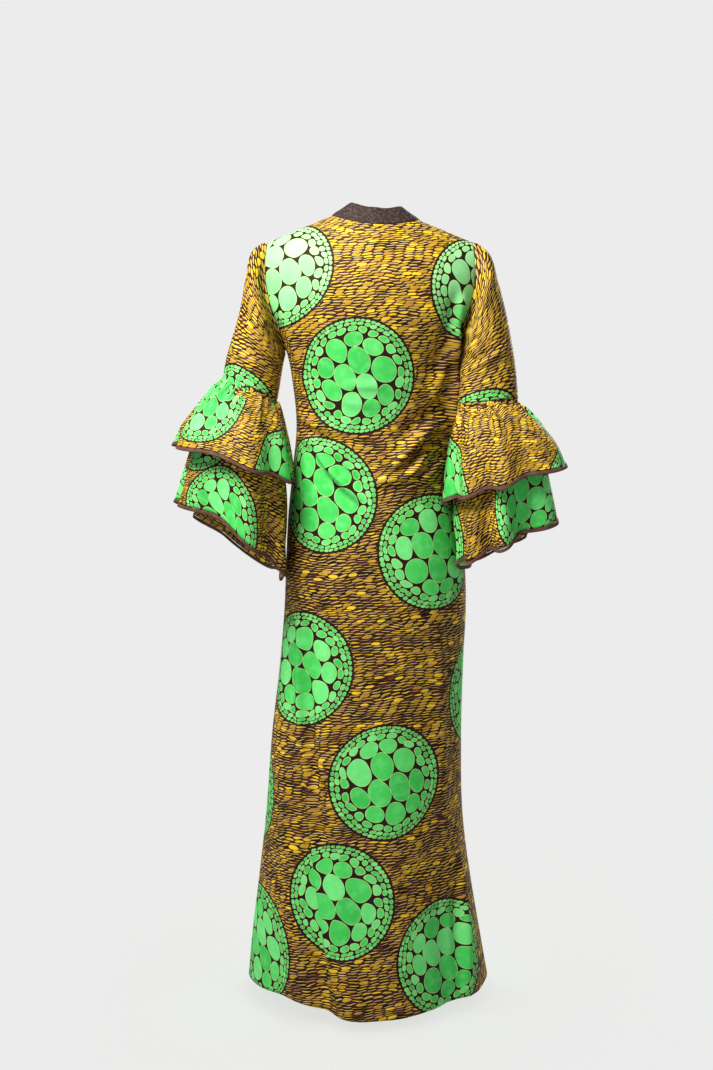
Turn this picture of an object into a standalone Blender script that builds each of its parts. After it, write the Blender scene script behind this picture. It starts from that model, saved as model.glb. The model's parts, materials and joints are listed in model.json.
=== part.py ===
"""Ankara dress with two-tier ruffled sleeves, in its worn form, as thin cut and sewn cloth walls.

Metres, +Z up. The origin is on the centre line at the height where the shoulder seams meet the neckline.
The front faces -Y, and the dress's own left side is +X.
"""

import math
from collections import namedtuple

import bpy
import numpy as np

# Cloth
WALL = 0.0016
SEAM_GAP = 0.0003
PANEL_HALF_GAP = 0.0002
BINDING_GAP = 0.0008
ARMHOLE_GAP = 0.0006
SEAM_LIP = 0.0025
BINDING_WALL = 0.0022
BINDING_PROUD = 0.0003
BINDING_HEIGHT = 0.007
LOWER_TOP_INSET = 0.0034

# Shoulders, armholes and neckline
SHOULDER_REACH = 0.184
SHOULDER_TIP_HEIGHT = -0.044
SHOULDER_SLOPE = 0.425
UNDERARM_HEIGHT = -0.236
ARMHOLE_DROP = SHOULDER_TIP_HEIGHT - UNDERARM_HEIGHT
NAPE_ROUND = 0.035
NECK_HALF_WIDTH = 0.078
NECK_CENTRE = -0.010
BACK_NECK_DIP = 0.014
FRONT_NECK_DEPTH = 0.220
FRONT_NECK_POINT = 1.35

# Length and roundness of the body
WAIST_HEIGHT = -0.372
HEM_HEIGHT = -1.405
BACK_HEM_DIP = 0.014
HEM_LIFT = 0.026
HEM_LIFT_PLACE = 0.155
HEM_LIFT_REACH = 0.060
LEAST_RADIUS = 0.020
EDGE_FADE_POWER = 8

# Neckband: its height, how far it leans in at the side and behind, and how soon it lies flat at the front
BAND_HEIGHT = 0.036
BAND_LEAN = 0.8
BAND_LEAST_LEAN = 0.35
BAND_BACK_RISE = 0.9
BAND_BACK_TURN = 0.25
BAND_FRONT_SHARE = 0.25
BAND_SMOOTHING = 2

# Grid of each panel: columns over the neck and over each shoulder, and rows above and below the underarm
NECK_COLUMNS = 16
SHOULDER_COLUMNS = 10
COLUMNS = NECK_COLUMNS + 2 * SHOULDER_COLUMNS
SHOULDER_ANGLES = (0.0, 4.0, 18.0, 33.0, 48.0, 62.0, 76.0)
LOWER_ROWS = 16

# Grid of the sleeves and ruffles
SLEEVE_AROUND = 20
RUFFLE_AROUND = 49
RUFFLE_WAVES = 7
WAVE_UNEVENNESS = 0.22
WAVE_DROP = 0.35
INNER_CALM = 0.5

# Room that a sleeve and each ruffle keep from the body
SLEEVE_ROOM = 0.004
UPPER_ROOM = 0.005
LOWER_ROOM = 0.013


# The body's rings: roundness is the power of the superellipse, 2 for an ellipse and more for squarer corners
BodySection = namedtuple("BodySection", "height half_width back_depth front_depth centre roundness")
BODY = (
    BodySection(0.050, 0.216, 0.100, 0.095, 0.000, 2.20),
    BodySection(-0.044, 0.210, 0.104, 0.104, 0.000, 2.20),
    BodySection(-0.085, 0.206, 0.107, 0.112, 0.000, 2.20),
    BodySection(-0.140, 0.196, 0.109, 0.122, 0.000, 2.20),
    BodySection(-0.190, 0.172, 0.109, 0.130, 0.000, 2.20),
    BodySection(-0.236, 0.1515, 0.106, 0.128, 0.000, 2.20),
    BodySection(-0.300, 0.139, 0.098, 0.114, 0.000, 2.20),
    BodySection(-0.372, 0.133, 0.091, 0.099, 0.000, 2.20),
    BodySection(-0.450, 0.143, 0.100, 0.101, -0.003, 2.20),
    BodySection(-0.540, 0.156, 0.114, 0.106, -0.007, 2.20),
    BodySection(-0.620, 0.163, 0.121, 0.110, -0.010, 2.20),
    BodySection(-0.700, 0.166, 0.123, 0.114, -0.010, 2.15),
    BodySection(-0.800, 0.168, 0.126, 0.121, -0.004, 2.10),
    BodySection(-0.950, 0.175, 0.136, 0.133, 0.006, 2.05),
    BodySection(-1.100, 0.183, 0.152, 0.148, 0.010, 1.95),
    BodySection(-1.230, 0.199, 0.171, 0.165, 0.009, 1.85),
    BodySection(-1.310, 0.211, 0.186, 0.179, 0.007, 1.80),
    BodySection(-1.405, 0.224, 0.201, 0.194, 0.003, 1.70),
)

ArmholePoint = namedtuple("ArmholePoint", "height reach")
ARMHOLE = (
    ArmholePoint(-0.044, 0.184),
    ArmholePoint(-0.085, 0.187),
    ArmholePoint(-0.142, 0.181),
    ArmholePoint(-0.190, 0.166),
    ArmholePoint(-0.236, 0.1515),
)

# The largest folds of the skirt: where each starts, bends and ends, and how far it stands out or (negative) in
Fold = namedtuple("Fold", "side top middle bottom half_width height")
FOLDS = (
    Fold("back", (0.130, -0.660), (0.116, -1.060), (0.078, -1.405), 0.022, -0.015),
    Fold("back", (0.098, -0.720), (0.076, -1.080), (0.030, -1.405), 0.034, 0.012),
    Fold("back", (0.152, -0.760), (0.150, -1.100), (0.128, -1.405), 0.026, 0.009),
    Fold("back", (-0.120, -1.000), (-0.165, -1.220), (-0.186, -1.405), 0.022, 0.010),
    Fold("back", (-0.090, -0.980), (-0.128, -1.220), (-0.146, -1.405), 0.020, -0.008),
    Fold("back", (-0.010, -0.900), (-0.030, -1.150), (-0.048, -1.405), 0.040, 0.007),
    Fold("front", (0.090, -0.640), (0.106, -1.020), (0.126, -1.405), 0.026, -0.012),
    Fold("front", (0.040, -0.600), (0.052, -1.020), (0.066, -1.405), 0.034, 0.010),
    Fold("front", (-0.020, -0.760), (-0.016, -1.080), (-0.008, -1.405), 0.026, -0.009),
    Fold("front", (-0.064, -0.640), (-0.082, -1.020), (-0.100, -1.405), 0.034, 0.011),
    Fold("front", (-0.106, -0.700), (-0.130, -1.060), (-0.152, -1.405), 0.024, -0.010),
)


class SleeveRing(namedtuple("SleeveRing", "outer inner half_depth behind bow")):
    """A ring round an arm: its outer and inner point seen from behind, its half depth, how far its middle
    lies behind the side seams, and how far its back and front bow out sideways."""

    front_drop = 0.0
    back_lift = 0.0
    wave = 0.0


class RuffleRing(namedtuple("RuffleRing", "outer inner half_depth behind front_drop back_lift wave")):
    """A ring round a ruffle: its front hangs lower, its back is lifted, and its waves stand out."""

    bow = 0.0


LEFT_SLEEVE = (
    SleeveRing((0.208, -0.057), (0.1530, -0.2385), 0.056, 0.004, 0.014),
    SleeveRing((0.221, -0.104), (0.1540, -0.2430), 0.060, 0.007, 0.010),
    SleeveRing((0.232, -0.158), (0.1560, -0.2520), 0.060, 0.012, 0.005),
    SleeveRing((0.247, -0.212), (0.1590, -0.2680), 0.057, 0.018, 0.001),
    SleeveRing((0.257, -0.245), (0.1630, -0.2950), 0.055, 0.024, 0.000),
    SleeveRing((0.2627, -0.2752), (0.1670, -0.3204), 0.055, 0.030, 0.000),
)
RIGHT_SLEEVE = (
    SleeveRing((0.211, -0.062), (0.1530, -0.2385), 0.056, 0.004, 0.013),
    SleeveRing((0.228, -0.110), (0.1540, -0.2430), 0.060, 0.007, 0.008),
    SleeveRing((0.245, -0.172), (0.1550, -0.2560), 0.060, 0.012, 0.002),
    SleeveRing((0.255, -0.223), (0.1560, -0.2760), 0.057, 0.018, 0.000),
    SleeveRing((0.262, -0.272), (0.1570, -0.3030), 0.056, 0.024, 0.000),
    SleeveRing((0.266, -0.3187), (0.1590, -0.3292), 0.056, 0.030, 0.000),
)

LEFT_UPPER = (
    RuffleRing((0.287, -0.298), (0.1590, -0.3300), 0.072, 0.036, 0.000, 0.000, 0.003),
    RuffleRing((0.307, -0.322), (0.1540, -0.3480), 0.086, 0.043, 0.004, 0.001, 0.005),
    RuffleRing((0.330, -0.361), (0.1470, -0.3960), 0.099, 0.052, 0.010, 0.004, 0.008),
    RuffleRing((0.3440, -0.398), (0.1380, -0.4650), 0.110, 0.060, 0.016, 0.008, 0.011),
)
LEFT_LOWER = (
    RuffleRing((0.282, -0.301), (0.1640, -0.3340), 0.064, 0.036, 0.000, 0.000, 0.002),
    RuffleRing((0.299, -0.338), (0.1600, -0.3740), 0.074, 0.043, 0.004, 0.002, 0.003),
    RuffleRing((0.314, -0.390), (0.1560, -0.4360), 0.086, 0.052, 0.010, 0.010, 0.006),
    RuffleRing((0.326, -0.446), (0.1520, -0.5120), 0.097, 0.056, 0.018, 0.014, 0.011),
    RuffleRing((0.340, -0.503), (0.1480, -0.6350), 0.108, 0.050, 0.030, 0.026, 0.017),
)
RIGHT_UPPER = (
    RuffleRing((0.286, -0.334), (0.1540, -0.3400), 0.072, 0.036, 0.000, 0.000, 0.003),
    RuffleRing((0.304, -0.350), (0.1500, -0.3580), 0.086, 0.043, 0.004, 0.001, 0.005),
    RuffleRing((0.328, -0.387), (0.1460, -0.4120), 0.099, 0.052, 0.010, 0.003, 0.008),
    RuffleRing((0.348, -0.432), (0.1340, -0.4980), 0.110, 0.060, 0.016, 0.005, 0.011),
)
RIGHT_LOWER = (
    RuffleRing((0.280, -0.336), (0.1590, -0.3430), 0.064, 0.036, 0.000, 0.000, 0.002),
    RuffleRing((0.298, -0.366), (0.1560, -0.3800), 0.074, 0.043, 0.004, 0.002, 0.003),
    RuffleRing((0.313, -0.420), (0.1540, -0.4480), 0.086, 0.052, 0.010, 0.002, 0.006),
    RuffleRing((0.322, -0.476), (0.1520, -0.5220), 0.097, 0.056, 0.018, 0.004, 0.011),
    RuffleRing((0.331, -0.530), (0.1500, -0.6150), 0.108, 0.050, 0.030, 0.006, 0.017),
)

Arm = namedtuple("Arm", "name sign sleeve upper lower wave_start")
ARMS = (
    Arm("left", 1, LEFT_SLEEVE, LEFT_UPPER, LEFT_LOWER, 0.6),
    Arm("right", -1, RIGHT_SLEEVE, RIGHT_UPPER, RIGHT_LOWER, 2.1),
)

PRINT_COLOUR = (0.30, 0.22, 0.03, 1.0)
BROWN_COLOUR = (0.10, 0.055, 0.045, 1.0)
CLOTH_ROUGHNESS = 0.85
CLOTH_METALLIC = 0.0


def smooth_value(table, column, height):
    """A column's value at a height, on a smooth curve through the table's rows, which run downwards."""
    rows = list(reversed(table))
    heights = np.array([row.height for row in rows])
    values = np.array([getattr(row, column) for row in rows])
    height = min(max(height, heights[0]), heights[-1])
    slopes = np.gradient(values, heights)
    i = min(int(np.searchsorted(heights, height, side="right")) - 1, len(rows) - 2)
    step = heights[i + 1] - heights[i]
    t = (height - heights[i]) / step
    start = (1 + 2 * t) * (1 - t) ** 2 * values[i] + t * (1 - t) ** 2 * step * slopes[i]
    end = t**2 * (3 - 2 * t) * values[i + 1] + t**2 * (t - 1) * step * slopes[i + 1]
    return float(start + end)


def shoulder_height(x):
    """Height of the shoulder seam, run on across the neck as a rounded ridge."""
    inward = math.hypot(SHOULDER_REACH, NAPE_ROUND) - math.hypot(x, NAPE_ROUND)
    return SHOULDER_TIP_HEIGHT + SHOULDER_SLOPE * inward


def body_depth(side, x, height):
    """How far the body's cloth lies behind (or before) the side seams at this place."""
    half_width = smooth_value(BODY, "half_width", height)
    depth = smooth_value(BODY, side + "_depth", height)
    across = min(abs(x - smooth_value(BODY, "centre", height)) / half_width, 1.0)
    power = smooth_value(BODY, "roundness", height)
    ring = (1 - across**power) ** (1 / power)
    drop = min(max((shoulder_height(x) - height) / ARMHOLE_DROP, 0.0), 1.0)
    return depth * ring * math.sqrt(1 - (1 - drop) ** 2)


def top_places():
    """Across each panel's top edge: shoulder seam, neckline and shoulder seam, from +X to -X."""
    left_neck = NECK_CENTRE + NECK_HALF_WIDTH
    right_neck = NECK_CENTRE - NECK_HALF_WIDTH
    left = np.linspace(SHOULDER_REACH, left_neck, SHOULDER_COLUMNS + 1)
    neck = np.linspace(left_neck, right_neck, NECK_COLUMNS + 1)
    right = np.linspace(right_neck, -SHOULDER_REACH, SHOULDER_COLUMNS + 1)
    return np.concatenate([left, neck[1:], right[1:]])


def top_height(side, x):
    """Height of a panel's top edge: the shoulder seam, or the neckline where it dips between them."""
    across = (x - NECK_CENTRE) / NECK_HALF_WIDTH
    if abs(across) >= 1:
        return shoulder_height(x)
    ends = [NECK_CENTRE - NECK_HALF_WIDTH, NECK_CENTRE + NECK_HALF_WIDTH]
    corner = float(np.interp(x, ends, [shoulder_height(end) for end in ends]))
    if side == "back":
        return corner - BACK_NECK_DIP * (1 - across**2)
    return corner - FRONT_NECK_DEPTH * (1 - abs(across) ** FRONT_NECK_POINT)


def row_heights():
    """Heights of the panel's rows at its side edge, in steps that round the shoulder and then even ones."""
    drops = 1 - np.cos(np.radians(SHOULDER_ANGLES))
    upper = SHOULDER_TIP_HEIGHT - ARMHOLE_DROP * drops
    return [*upper, *np.linspace(UNDERARM_HEIGHT, HEM_HEIGHT, LOWER_ROWS + 1)]


def distance_along(point, start, end):
    """Distance from a point to a line, and how far along the line the nearest place lies."""
    line = np.subtract(end, start)
    along = float(np.clip(np.dot(np.subtract(point, start), line) / np.dot(line, line), 0, 1))
    return float(np.linalg.norm(np.subtract(point, np.add(start, along * line)))), along


def fold_height(side, x, height):
    """How far the skirt's folds move the cloth out at this place."""
    total = 0.0
    for fold in FOLDS:
        if fold.side != side:
            continue
        above, upper_part = distance_along((x, height), fold.top, fold.middle)
        below, lower_part = distance_along((x, height), fold.middle, fold.bottom)
        growth = (upper_part if above < below else 1 + lower_part) / 2
        away = min(above, below) / fold.half_width
        total += fold.height * math.sin(growth * math.pi / 2) * math.exp(-(away**2))
    return total


def hem_dip(side, x, ring_share):
    """How far a panel's hem hangs below its side seams. The back is lifted a little on its left."""
    if side == "front":
        return 0.0
    lift = HEM_LIFT * math.exp(-(((x - HEM_LIFT_PLACE) / HEM_LIFT_REACH) ** 2))
    return (BACK_HEM_DIP - lift) * (1 - ring_share**2)


def panel_rows(side):
    """Points of the front or back, row by row from the shoulders to the hem, each row from +X to -X."""
    facing = 1 if side == "back" else -1
    across = np.linspace(1, -1, COLUMNS + 1)
    ring_share = np.sin(across * math.pi / 2)
    top = top_places()
    rows = []
    for side_height in row_heights():
        upper = side_height > UNDERARM_HEIGHT + 1e-9
        reach = smooth_value(ARMHOLE, "reach", side_height) if upper else None
        blend = max(0.0, (side_height - UNDERARM_HEIGHT) / ARMHOLE_DROP)
        lift = max(0.0, (side_height - WAIST_HEIGHT) / (SHOULDER_TIP_HEIGHT - WAIST_HEIGHT))
        fall = max(0.0, (WAIST_HEIGHT - side_height) / (WAIST_HEIGHT - HEM_HEIGHT)) ** 2
        row = []
        for k in range(COLUMNS + 1):
            height = side_height + lift * (top_height(side, top[k]) - SHOULDER_TIP_HEIGHT)
            if upper:
                x = reach * ((1 - blend) * ring_share[k] + blend * top[k] / SHOULDER_REACH)
            else:
                centre = smooth_value(BODY, "centre", side_height)
                x = centre + smooth_value(BODY, "half_width", side_height) * ring_share[k]
            y = body_depth(side, x, height)
            height -= fall * hem_dip(side, x, ring_share[k])
            centre = smooth_value(BODY, "centre", height)
            fade = 1 - abs(across[k]) ** EDGE_FADE_POWER
            push = fade * fold_height(side, x, height) / max(math.hypot(x - centre, y), LEAST_RADIUS)
            row.append((x + push * (x - centre), facing * (y * (1 + push) + PANEL_HALF_GAP), height))
        rows.append(row)
    return rows


def clear_of_body(point, room):
    """The point, moved straight out from the body's axis where it lies nearer than the room."""
    x, y, height = point
    half_width = smooth_value(BODY, "half_width", height) + room
    depth = smooth_value(BODY, "back_depth" if y > 0 else "front_depth", height) + room
    centre = smooth_value(BODY, "centre", height)
    power = smooth_value(BODY, "roundness", height)
    size = (abs((x - centre) / half_width) ** power + abs(y / depth) ** power) ** (1 / power)
    if size >= 1 or height > UNDERARM_HEIGHT:
        return point
    return (centre + (x - centre) / size, y / size, height)


def arm_ring(arm, ring, count, room, shrink=0.0):
    """Points round an arm, the outermost first, then round its back."""
    points = []
    for k in range(count):
        angle = 2 * math.pi * k / count
        uneven = angle + WAVE_UNEVENNESS * math.sin(2 * angle + arm.wave_start)
        calm = 1 - INNER_CALM * max(0.0, -math.cos(angle))
        wave = ring.wave * calm * math.cos(RUFFLE_WAVES * uneven + arm.wave_start)
        half = np.subtract(ring.outer, ring.inner) / 2
        middle = np.add(ring.outer, ring.inner) / 2
        stretch = 1 + (wave - shrink) / float(np.linalg.norm(half))
        x, height = middle + half * math.cos(angle) * stretch
        x += ring.bow * abs(math.sin(angle))
        y = ring.behind + ring.half_depth * math.sin(angle) * stretch
        height += ring.back_lift * max(0.0, math.sin(angle)) ** 2
        height -= ring.front_drop * max(0.0, -math.sin(angle)) + WAVE_DROP * wave
        points.append(clear_of_body((arm.sign * x, y, height), room))
    return points


def armhole_ring(arm, out):
    """Points round an armhole, moved out along X, in the same order as a ring of the sleeve."""
    points = []
    for k in range(SLEEVE_AROUND):
        angle = 2 * math.pi * k / SLEEVE_AROUND
        height = UNDERARM_HEIGHT + ARMHOLE_DROP * (1 + math.cos(angle)) / 2
        reach = smooth_value(ARMHOLE, "reach", height)
        side = "back" if math.sin(angle) >= 0 else "front"
        y = math.copysign(body_depth(side, reach, height), math.sin(angle))
        points.append((arm.sign * (reach + out), y, height))
    return points


def sleeve_rows(arm):
    rows = [armhole_ring(arm, ARMHOLE_GAP), armhole_ring(arm, SEAM_LIP)]
    for ring in arm.sleeve:
        rows.append(arm_ring(arm, ring, SLEEVE_AROUND, SLEEVE_ROOM))
    return rows


def ruffle_rows(arm, rings, room, shrink):
    """A ruffle from the elbow seam to its hem. Shrink sets its top inside the wall before it."""
    before, seam = [arm_ring(arm, ring, RUFFLE_AROUND, SLEEVE_ROOM, shrink) for ring in arm.sleeve[-2:]]
    rows = [run_on(before, seam, SEAM_GAP), run_on(before, seam, SEAM_LIP)]
    for ring in rings:
        rows.append(arm_ring(arm, ring, RUFFLE_AROUND, room))
    rows.insert(-1, run_on(rows[-2], rows[-1], -SEAM_LIP))
    return rows


def run_on(before, hem, reach):
    """A row past the hem by the reach, or short of it below nought, on the lines from the row before."""
    row = []
    for start, end in zip(before, hem):
        step = np.subtract(end, start)
        row.append(tuple(np.add(end, step * reach / np.linalg.norm(step))))
    return row


def binding_rows(ruffle):
    """The strip that binds a ruffle: its last stretch, carried on past its hem."""
    return [run_on(ruffle[-2], ruffle[-1], reach) for reach in (BINDING_GAP, BINDING_HEIGHT)]


def unit(vector):
    return np.asarray(vector) / np.linalg.norm(vector)


def smoothed(ways, own_share):
    """Directions round a loop, each blended with the ones beside it."""
    count = len(ways)
    return [unit(ways[k - 1] + own_share * ways[k] + ways[(k + 1) % count]) for k in range(count)]


def neckband_rows(back, front):
    """The band: it starts on the neckline and stands up and in, more steeply behind than at the front."""
    first = SHOULDER_COLUMNS
    last = SHOULDER_COLUMNS + NECK_COLUMNS
    edge = list(zip(back[0], back[1]))[first : last + 1]
    edge += list(reversed(list(zip(front[0], front[1]))[first + 1 : last]))
    points = [np.array(top) for top, _ in edge]
    points[0][1] = 0.0
    points[NECK_COLUMNS][1] = 0.0
    middle = np.mean(points, axis=0)
    flats = []
    ways = []
    for k, (top, below) in enumerate(edge):
        point = points[k]
        along = unit(points[(k + 1) % len(points)] - points[k - 1])
        rise = unit(np.subtract(top, below))
        inward = unit(np.array([middle[0] - point[0], BAND_BACK_TURN * (middle[1] - point[1]), 0.0]))
        lean = BAND_LEAST_LEAN + (1 - BAND_LEAST_LEAN) * abs(inward[0])
        at_front = min(1.0, max(0.0, -point[1]) / (BAND_FRONT_SHARE * FRONT_NECK_DEPTH))
        standing = np.array([0.0, -BAND_BACK_TURN * np.sign(point[1]), BAND_BACK_RISE])
        way = BAND_LEAN * lean * inward + (1 - at_front) * standing + at_front * rise
        flats.append(unit(rise - along * np.dot(rise, along)))
        ways.append(unit(way - along * np.dot(way, along)))
    for _ in range(BAND_SMOOTHING):
        ways = smoothed(ways, 1)
        flats = smoothed(flats, 2)
    edges = [point + flat * SEAM_GAP for point, flat in zip(points, flats)]
    lips = [point + flat * SEAM_LIP for point, flat in zip(points, flats)]
    middles = [lip + way * BAND_HEIGHT / 2 for lip, way in zip(lips, ways)]
    tops = [lip + way * BAND_HEIGHT for lip, way in zip(lips, ways)]
    return [[tuple(point) for point in row] for row in (edges, lips, middles, tops)]


def cloth_material(name, colour):
    material = bpy.data.materials.new(name)
    material.use_nodes = True
    shader = material.node_tree.nodes["Principled BSDF"]
    shader.inputs["Base Color"].default_value = colour
    shader.inputs["Roughness"].default_value = CLOTH_ROUGHNESS
    shader.inputs["Metallic"].default_value = CLOTH_METALLIC
    material.diffuse_color = colour
    return material


def cloth_piece(collection, name, rows, closed, flip, colour, wall=WALL, proud=0.0):
    """An object with a surface through the rows, and a Solidify modifier that gives it its wall, inwards."""
    width = len(rows[0])
    points = [point for row in rows for point in row]
    faces = []
    for j in range(len(rows) - 1):
        for k in range(width if closed else width - 1):
            a = j * width + k
            b = j * width + (k + 1) % width
            face = (a, b, b + width, a + width)
            faces.append(face[::-1] if flip else face)
    mesh = bpy.data.meshes.new(name)
    mesh.from_pydata(points, [], faces)
    mesh.shade_smooth()
    mesh.materials.append(cloth_material(name + "_cloth", colour))
    piece = bpy.data.objects.new(name, mesh)
    collection.objects.link(piece)
    solidify = piece.modifiers.new("wall", "SOLIDIFY")
    solidify.thickness = wall
    solidify.offset = 2 * proud / wall - 1
    return piece


def clear_scene():
    for thing in list(bpy.data.objects):
        bpy.data.objects.remove(thing, do_unlink=True)


def main():
    clear_scene()
    collection = bpy.data.collections.new("ankara_dress")
    bpy.context.scene.collection.children.link(collection)

    back = panel_rows("back")
    front = panel_rows("front")
    cloth_piece(collection, "dress_back", back, False, True, PRINT_COLOUR)
    cloth_piece(collection, "dress_front", front, False, False, PRINT_COLOUR)
    cloth_piece(collection, "neckband", neckband_rows(back, front), True, False, BROWN_COLOUR)

    for arm in ARMS:
        flip = arm.sign < 0
        cloth_piece(collection, "sleeve_" + arm.name, sleeve_rows(arm), True, flip, PRINT_COLOUR)
        upper = ruffle_rows(arm, arm.upper, UPPER_ROOM, 0.0)
        lower = ruffle_rows(arm, arm.lower, LOWER_ROOM, LOWER_TOP_INSET)
        for tier, rows in (("upper", upper), ("lower", lower)):
            cloth_piece(collection, f"ruffle_{tier}_{arm.name}", rows, True, flip, PRINT_COLOUR)
            name = f"binding_{tier}_{arm.name}"
            strip = binding_rows(rows)
            cloth_piece(collection, name, strip, True, flip, BROWN_COLOUR, BINDING_WALL, BINDING_PROUD)


main()
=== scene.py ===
"""Looks of the ankara dress: thin wax-print cloth with its seams, gathers and creases.

Metres, +Z up. The dress's front faces -Y and its own left side is +X, as in the part.
"""

import json
import math
from collections import namedtuple

import bpy
import numpy as np
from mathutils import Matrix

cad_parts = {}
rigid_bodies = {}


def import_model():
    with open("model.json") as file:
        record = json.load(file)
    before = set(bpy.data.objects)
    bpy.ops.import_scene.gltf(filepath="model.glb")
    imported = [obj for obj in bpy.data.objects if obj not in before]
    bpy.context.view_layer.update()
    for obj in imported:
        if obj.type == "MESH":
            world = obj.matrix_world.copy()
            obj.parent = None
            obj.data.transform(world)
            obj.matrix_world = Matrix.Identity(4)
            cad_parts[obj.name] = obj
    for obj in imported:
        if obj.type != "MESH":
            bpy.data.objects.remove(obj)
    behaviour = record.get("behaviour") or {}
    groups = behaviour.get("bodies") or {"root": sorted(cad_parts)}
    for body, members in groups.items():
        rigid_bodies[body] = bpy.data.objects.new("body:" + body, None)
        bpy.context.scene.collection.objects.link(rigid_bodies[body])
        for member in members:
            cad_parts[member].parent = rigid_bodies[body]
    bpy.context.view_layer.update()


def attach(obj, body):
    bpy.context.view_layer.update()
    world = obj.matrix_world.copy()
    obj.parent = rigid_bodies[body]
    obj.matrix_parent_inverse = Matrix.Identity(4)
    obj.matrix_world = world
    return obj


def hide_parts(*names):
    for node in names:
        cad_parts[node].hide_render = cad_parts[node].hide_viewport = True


bl_info = {
    "name": "Ankara dress",
    "version": (1, 0, 0),
    "blender": (4, 5, 0),
    "location": "3D View > Sidebar > Dress",
    "description": "Builds the cloth, print, seams and studio of a floor-length wax-print dress",
    "category": "Add Mesh",
}

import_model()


def table(kind, *rows):
    """The rows of a table as named tuples of this kind."""
    return tuple(kind(*row) for row in rows)


# Seams: gaps between pieces, the lip over each, and how near the ends of a tube are sewn into one
SEAM_GAP = 0.0003
PANEL_HALF_GAP = 0.0002
BINDING_GAP = 0.0008
ARMHOLE_GAP = 0.0006
SEAM_LIP = 0.0025
LOWER_TOP_INSET = 0.0034
WELD_DISTANCE = 1e-5

# Lengths too small to see, which keep a comparison and a division safe
ROUNDING = 1e-9
LEAST_LENGTH = 1e-12

# Shoulders, armholes and neckline
SHOULDER_REACH = 0.184
SHOULDER_TIP_HEIGHT = -0.044
SHOULDER_SLOPE = 0.425
UNDERARM_HEIGHT = -0.236
ARMHOLE_DROP = SHOULDER_TIP_HEIGHT - UNDERARM_HEIGHT
NAPE_ROUND = 0.035
NECK_HALF_WIDTH = 0.078
NECK_CENTRE = -0.010
BACK_NECK_DIP = 0.014
FRONT_NECK_DEPTH = 0.220
FRONT_NECK_POINT = 1.35

# Length and hem of the body
WAIST_HEIGHT = -0.372
HEM_HEIGHT = -1.405
BACK_HEM_DIP = 0.014
HEM_LIFT = 0.026
HEM_LIFT_PLACE = 0.155
HEM_LIFT_REACH = 0.060
LEAST_RADIUS = 0.020
EDGE_FADE_POWER = 8

# Fullness that stands out beside the waist on the right
SIDE_FULLNESS = 0.0145
SIDE_FULLNESS_HEIGHT = -0.330
SIDE_FULLNESS_REACH = 0.060
SIDE_FULLNESS_FALL = 0.095
SIDE_FULLNESS_POWER = 3

# Neckband
BAND_HEIGHT = 0.036
BAND_LEAN = 0.8
BAND_LEAST_LEAN = 0.35
BAND_BACK_RISE = 0.9
BAND_BACK_TURN = 0.25
BAND_FRONT_SHARE = 0.25
BAND_SMOOTHING = 2
BAND_WAY_SHARE = 1
BAND_FLAT_SHARE = 2
BAND_PROFILE = (0, 0.5, 1)

# Where the middle of the back lies among the columns of an arm's tube and of the neckband
ARM_BACK_SHARE = 0.75
BAND_BACK_SHARE = 0.25

# Ruffles and the room that each piece keeps from the body
RUFFLE_WAVES = 7
WAVE_UNEVENNESS = 0.22
WAVE_DROP = 0.35
INNER_CALM = 0.5
SLEEVE_ROOM = 0.004
UPPER_ROOM = 0.005
LOWER_ROOM = 0.013

# Bindings: how much of each strip shows on both sides of the hem, and its form
BINDING_CUT = 0.0105
BINDING_HEIGHT = 0.007
BINDING_THICKNESS = 0.0022

# Gathers of a ruffle: a bulge under the seam, the valleys that cut it, and fine puckers at the seam
GATHER_HEIGHT = 0.012
GATHER_RISE = 0.014
GATHER_REACH = 0.85
VALLEYS = 15
VALLEY_HALF_WIDTH = 0.060
VALLEY_LEAN = 0.14
VALLEY_SHIFT = 0.7
VALLEY_LEAST_WIDTH = 0.7
VALLEY_LEAST_DEPTH = 0.45
LUCK_STEP = 7.3
LUCK_START = 0.2
PUCKER_SWAY = 5
GOLDEN_SHARE = 0.61803
PUCKERS = 66
PUCKER_HEIGHT = 0.0014
PUCKER_REACH = 0.012
LOWER_GATHER_SHARE = 0.30
FULLNESS = 1.32

# Grids of the cloth
NECK_COLUMNS = 16
SHOULDER_COLUMNS = 10
SHOULDER_ROWS = 44
SKIRT_ROWS = 190
SLEEVE_AROUND = 144
SLEEVE_ROWS = 84
RUFFLE_AROUND = 392
RUFFLE_ROWS = 48
BAND_ROWS = 10
BAND_FOOT_ROW = 6
BINDING_ROWS = 4

# Studio
FLOOR_HEIGHT = -1.437
FLOOR_REACH = 40.0
FLOOR_SIDES = 64
FLOOR_GREY = 0.6
FLOOR_ROUGHNESS = 0.9
BACKDROP_GREY = 0.8388
AMBIENT = 0.32
FOCAL_SHARE = 1754 / 1070
CAMERA_PLACE = (0.0246, 3.2, -0.209)
CAMERA_PITCH = 6.5
CAMERA_SIGHT = 200.0
SENSOR_WIDTH = 36.0
Lamp = namedtuple("Lamp", "name place aim size power")
LAMPS = table(
    Lamp,
    ("key", (0.88, 0.95, 1.24), (0.05, 0.05, -0.20), 0.9, 110.0),
    ("front_fill", (-0.80, -2.00, 0.10), (0.0, -0.05, -0.60), 1.4, 90.0),
)

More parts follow.
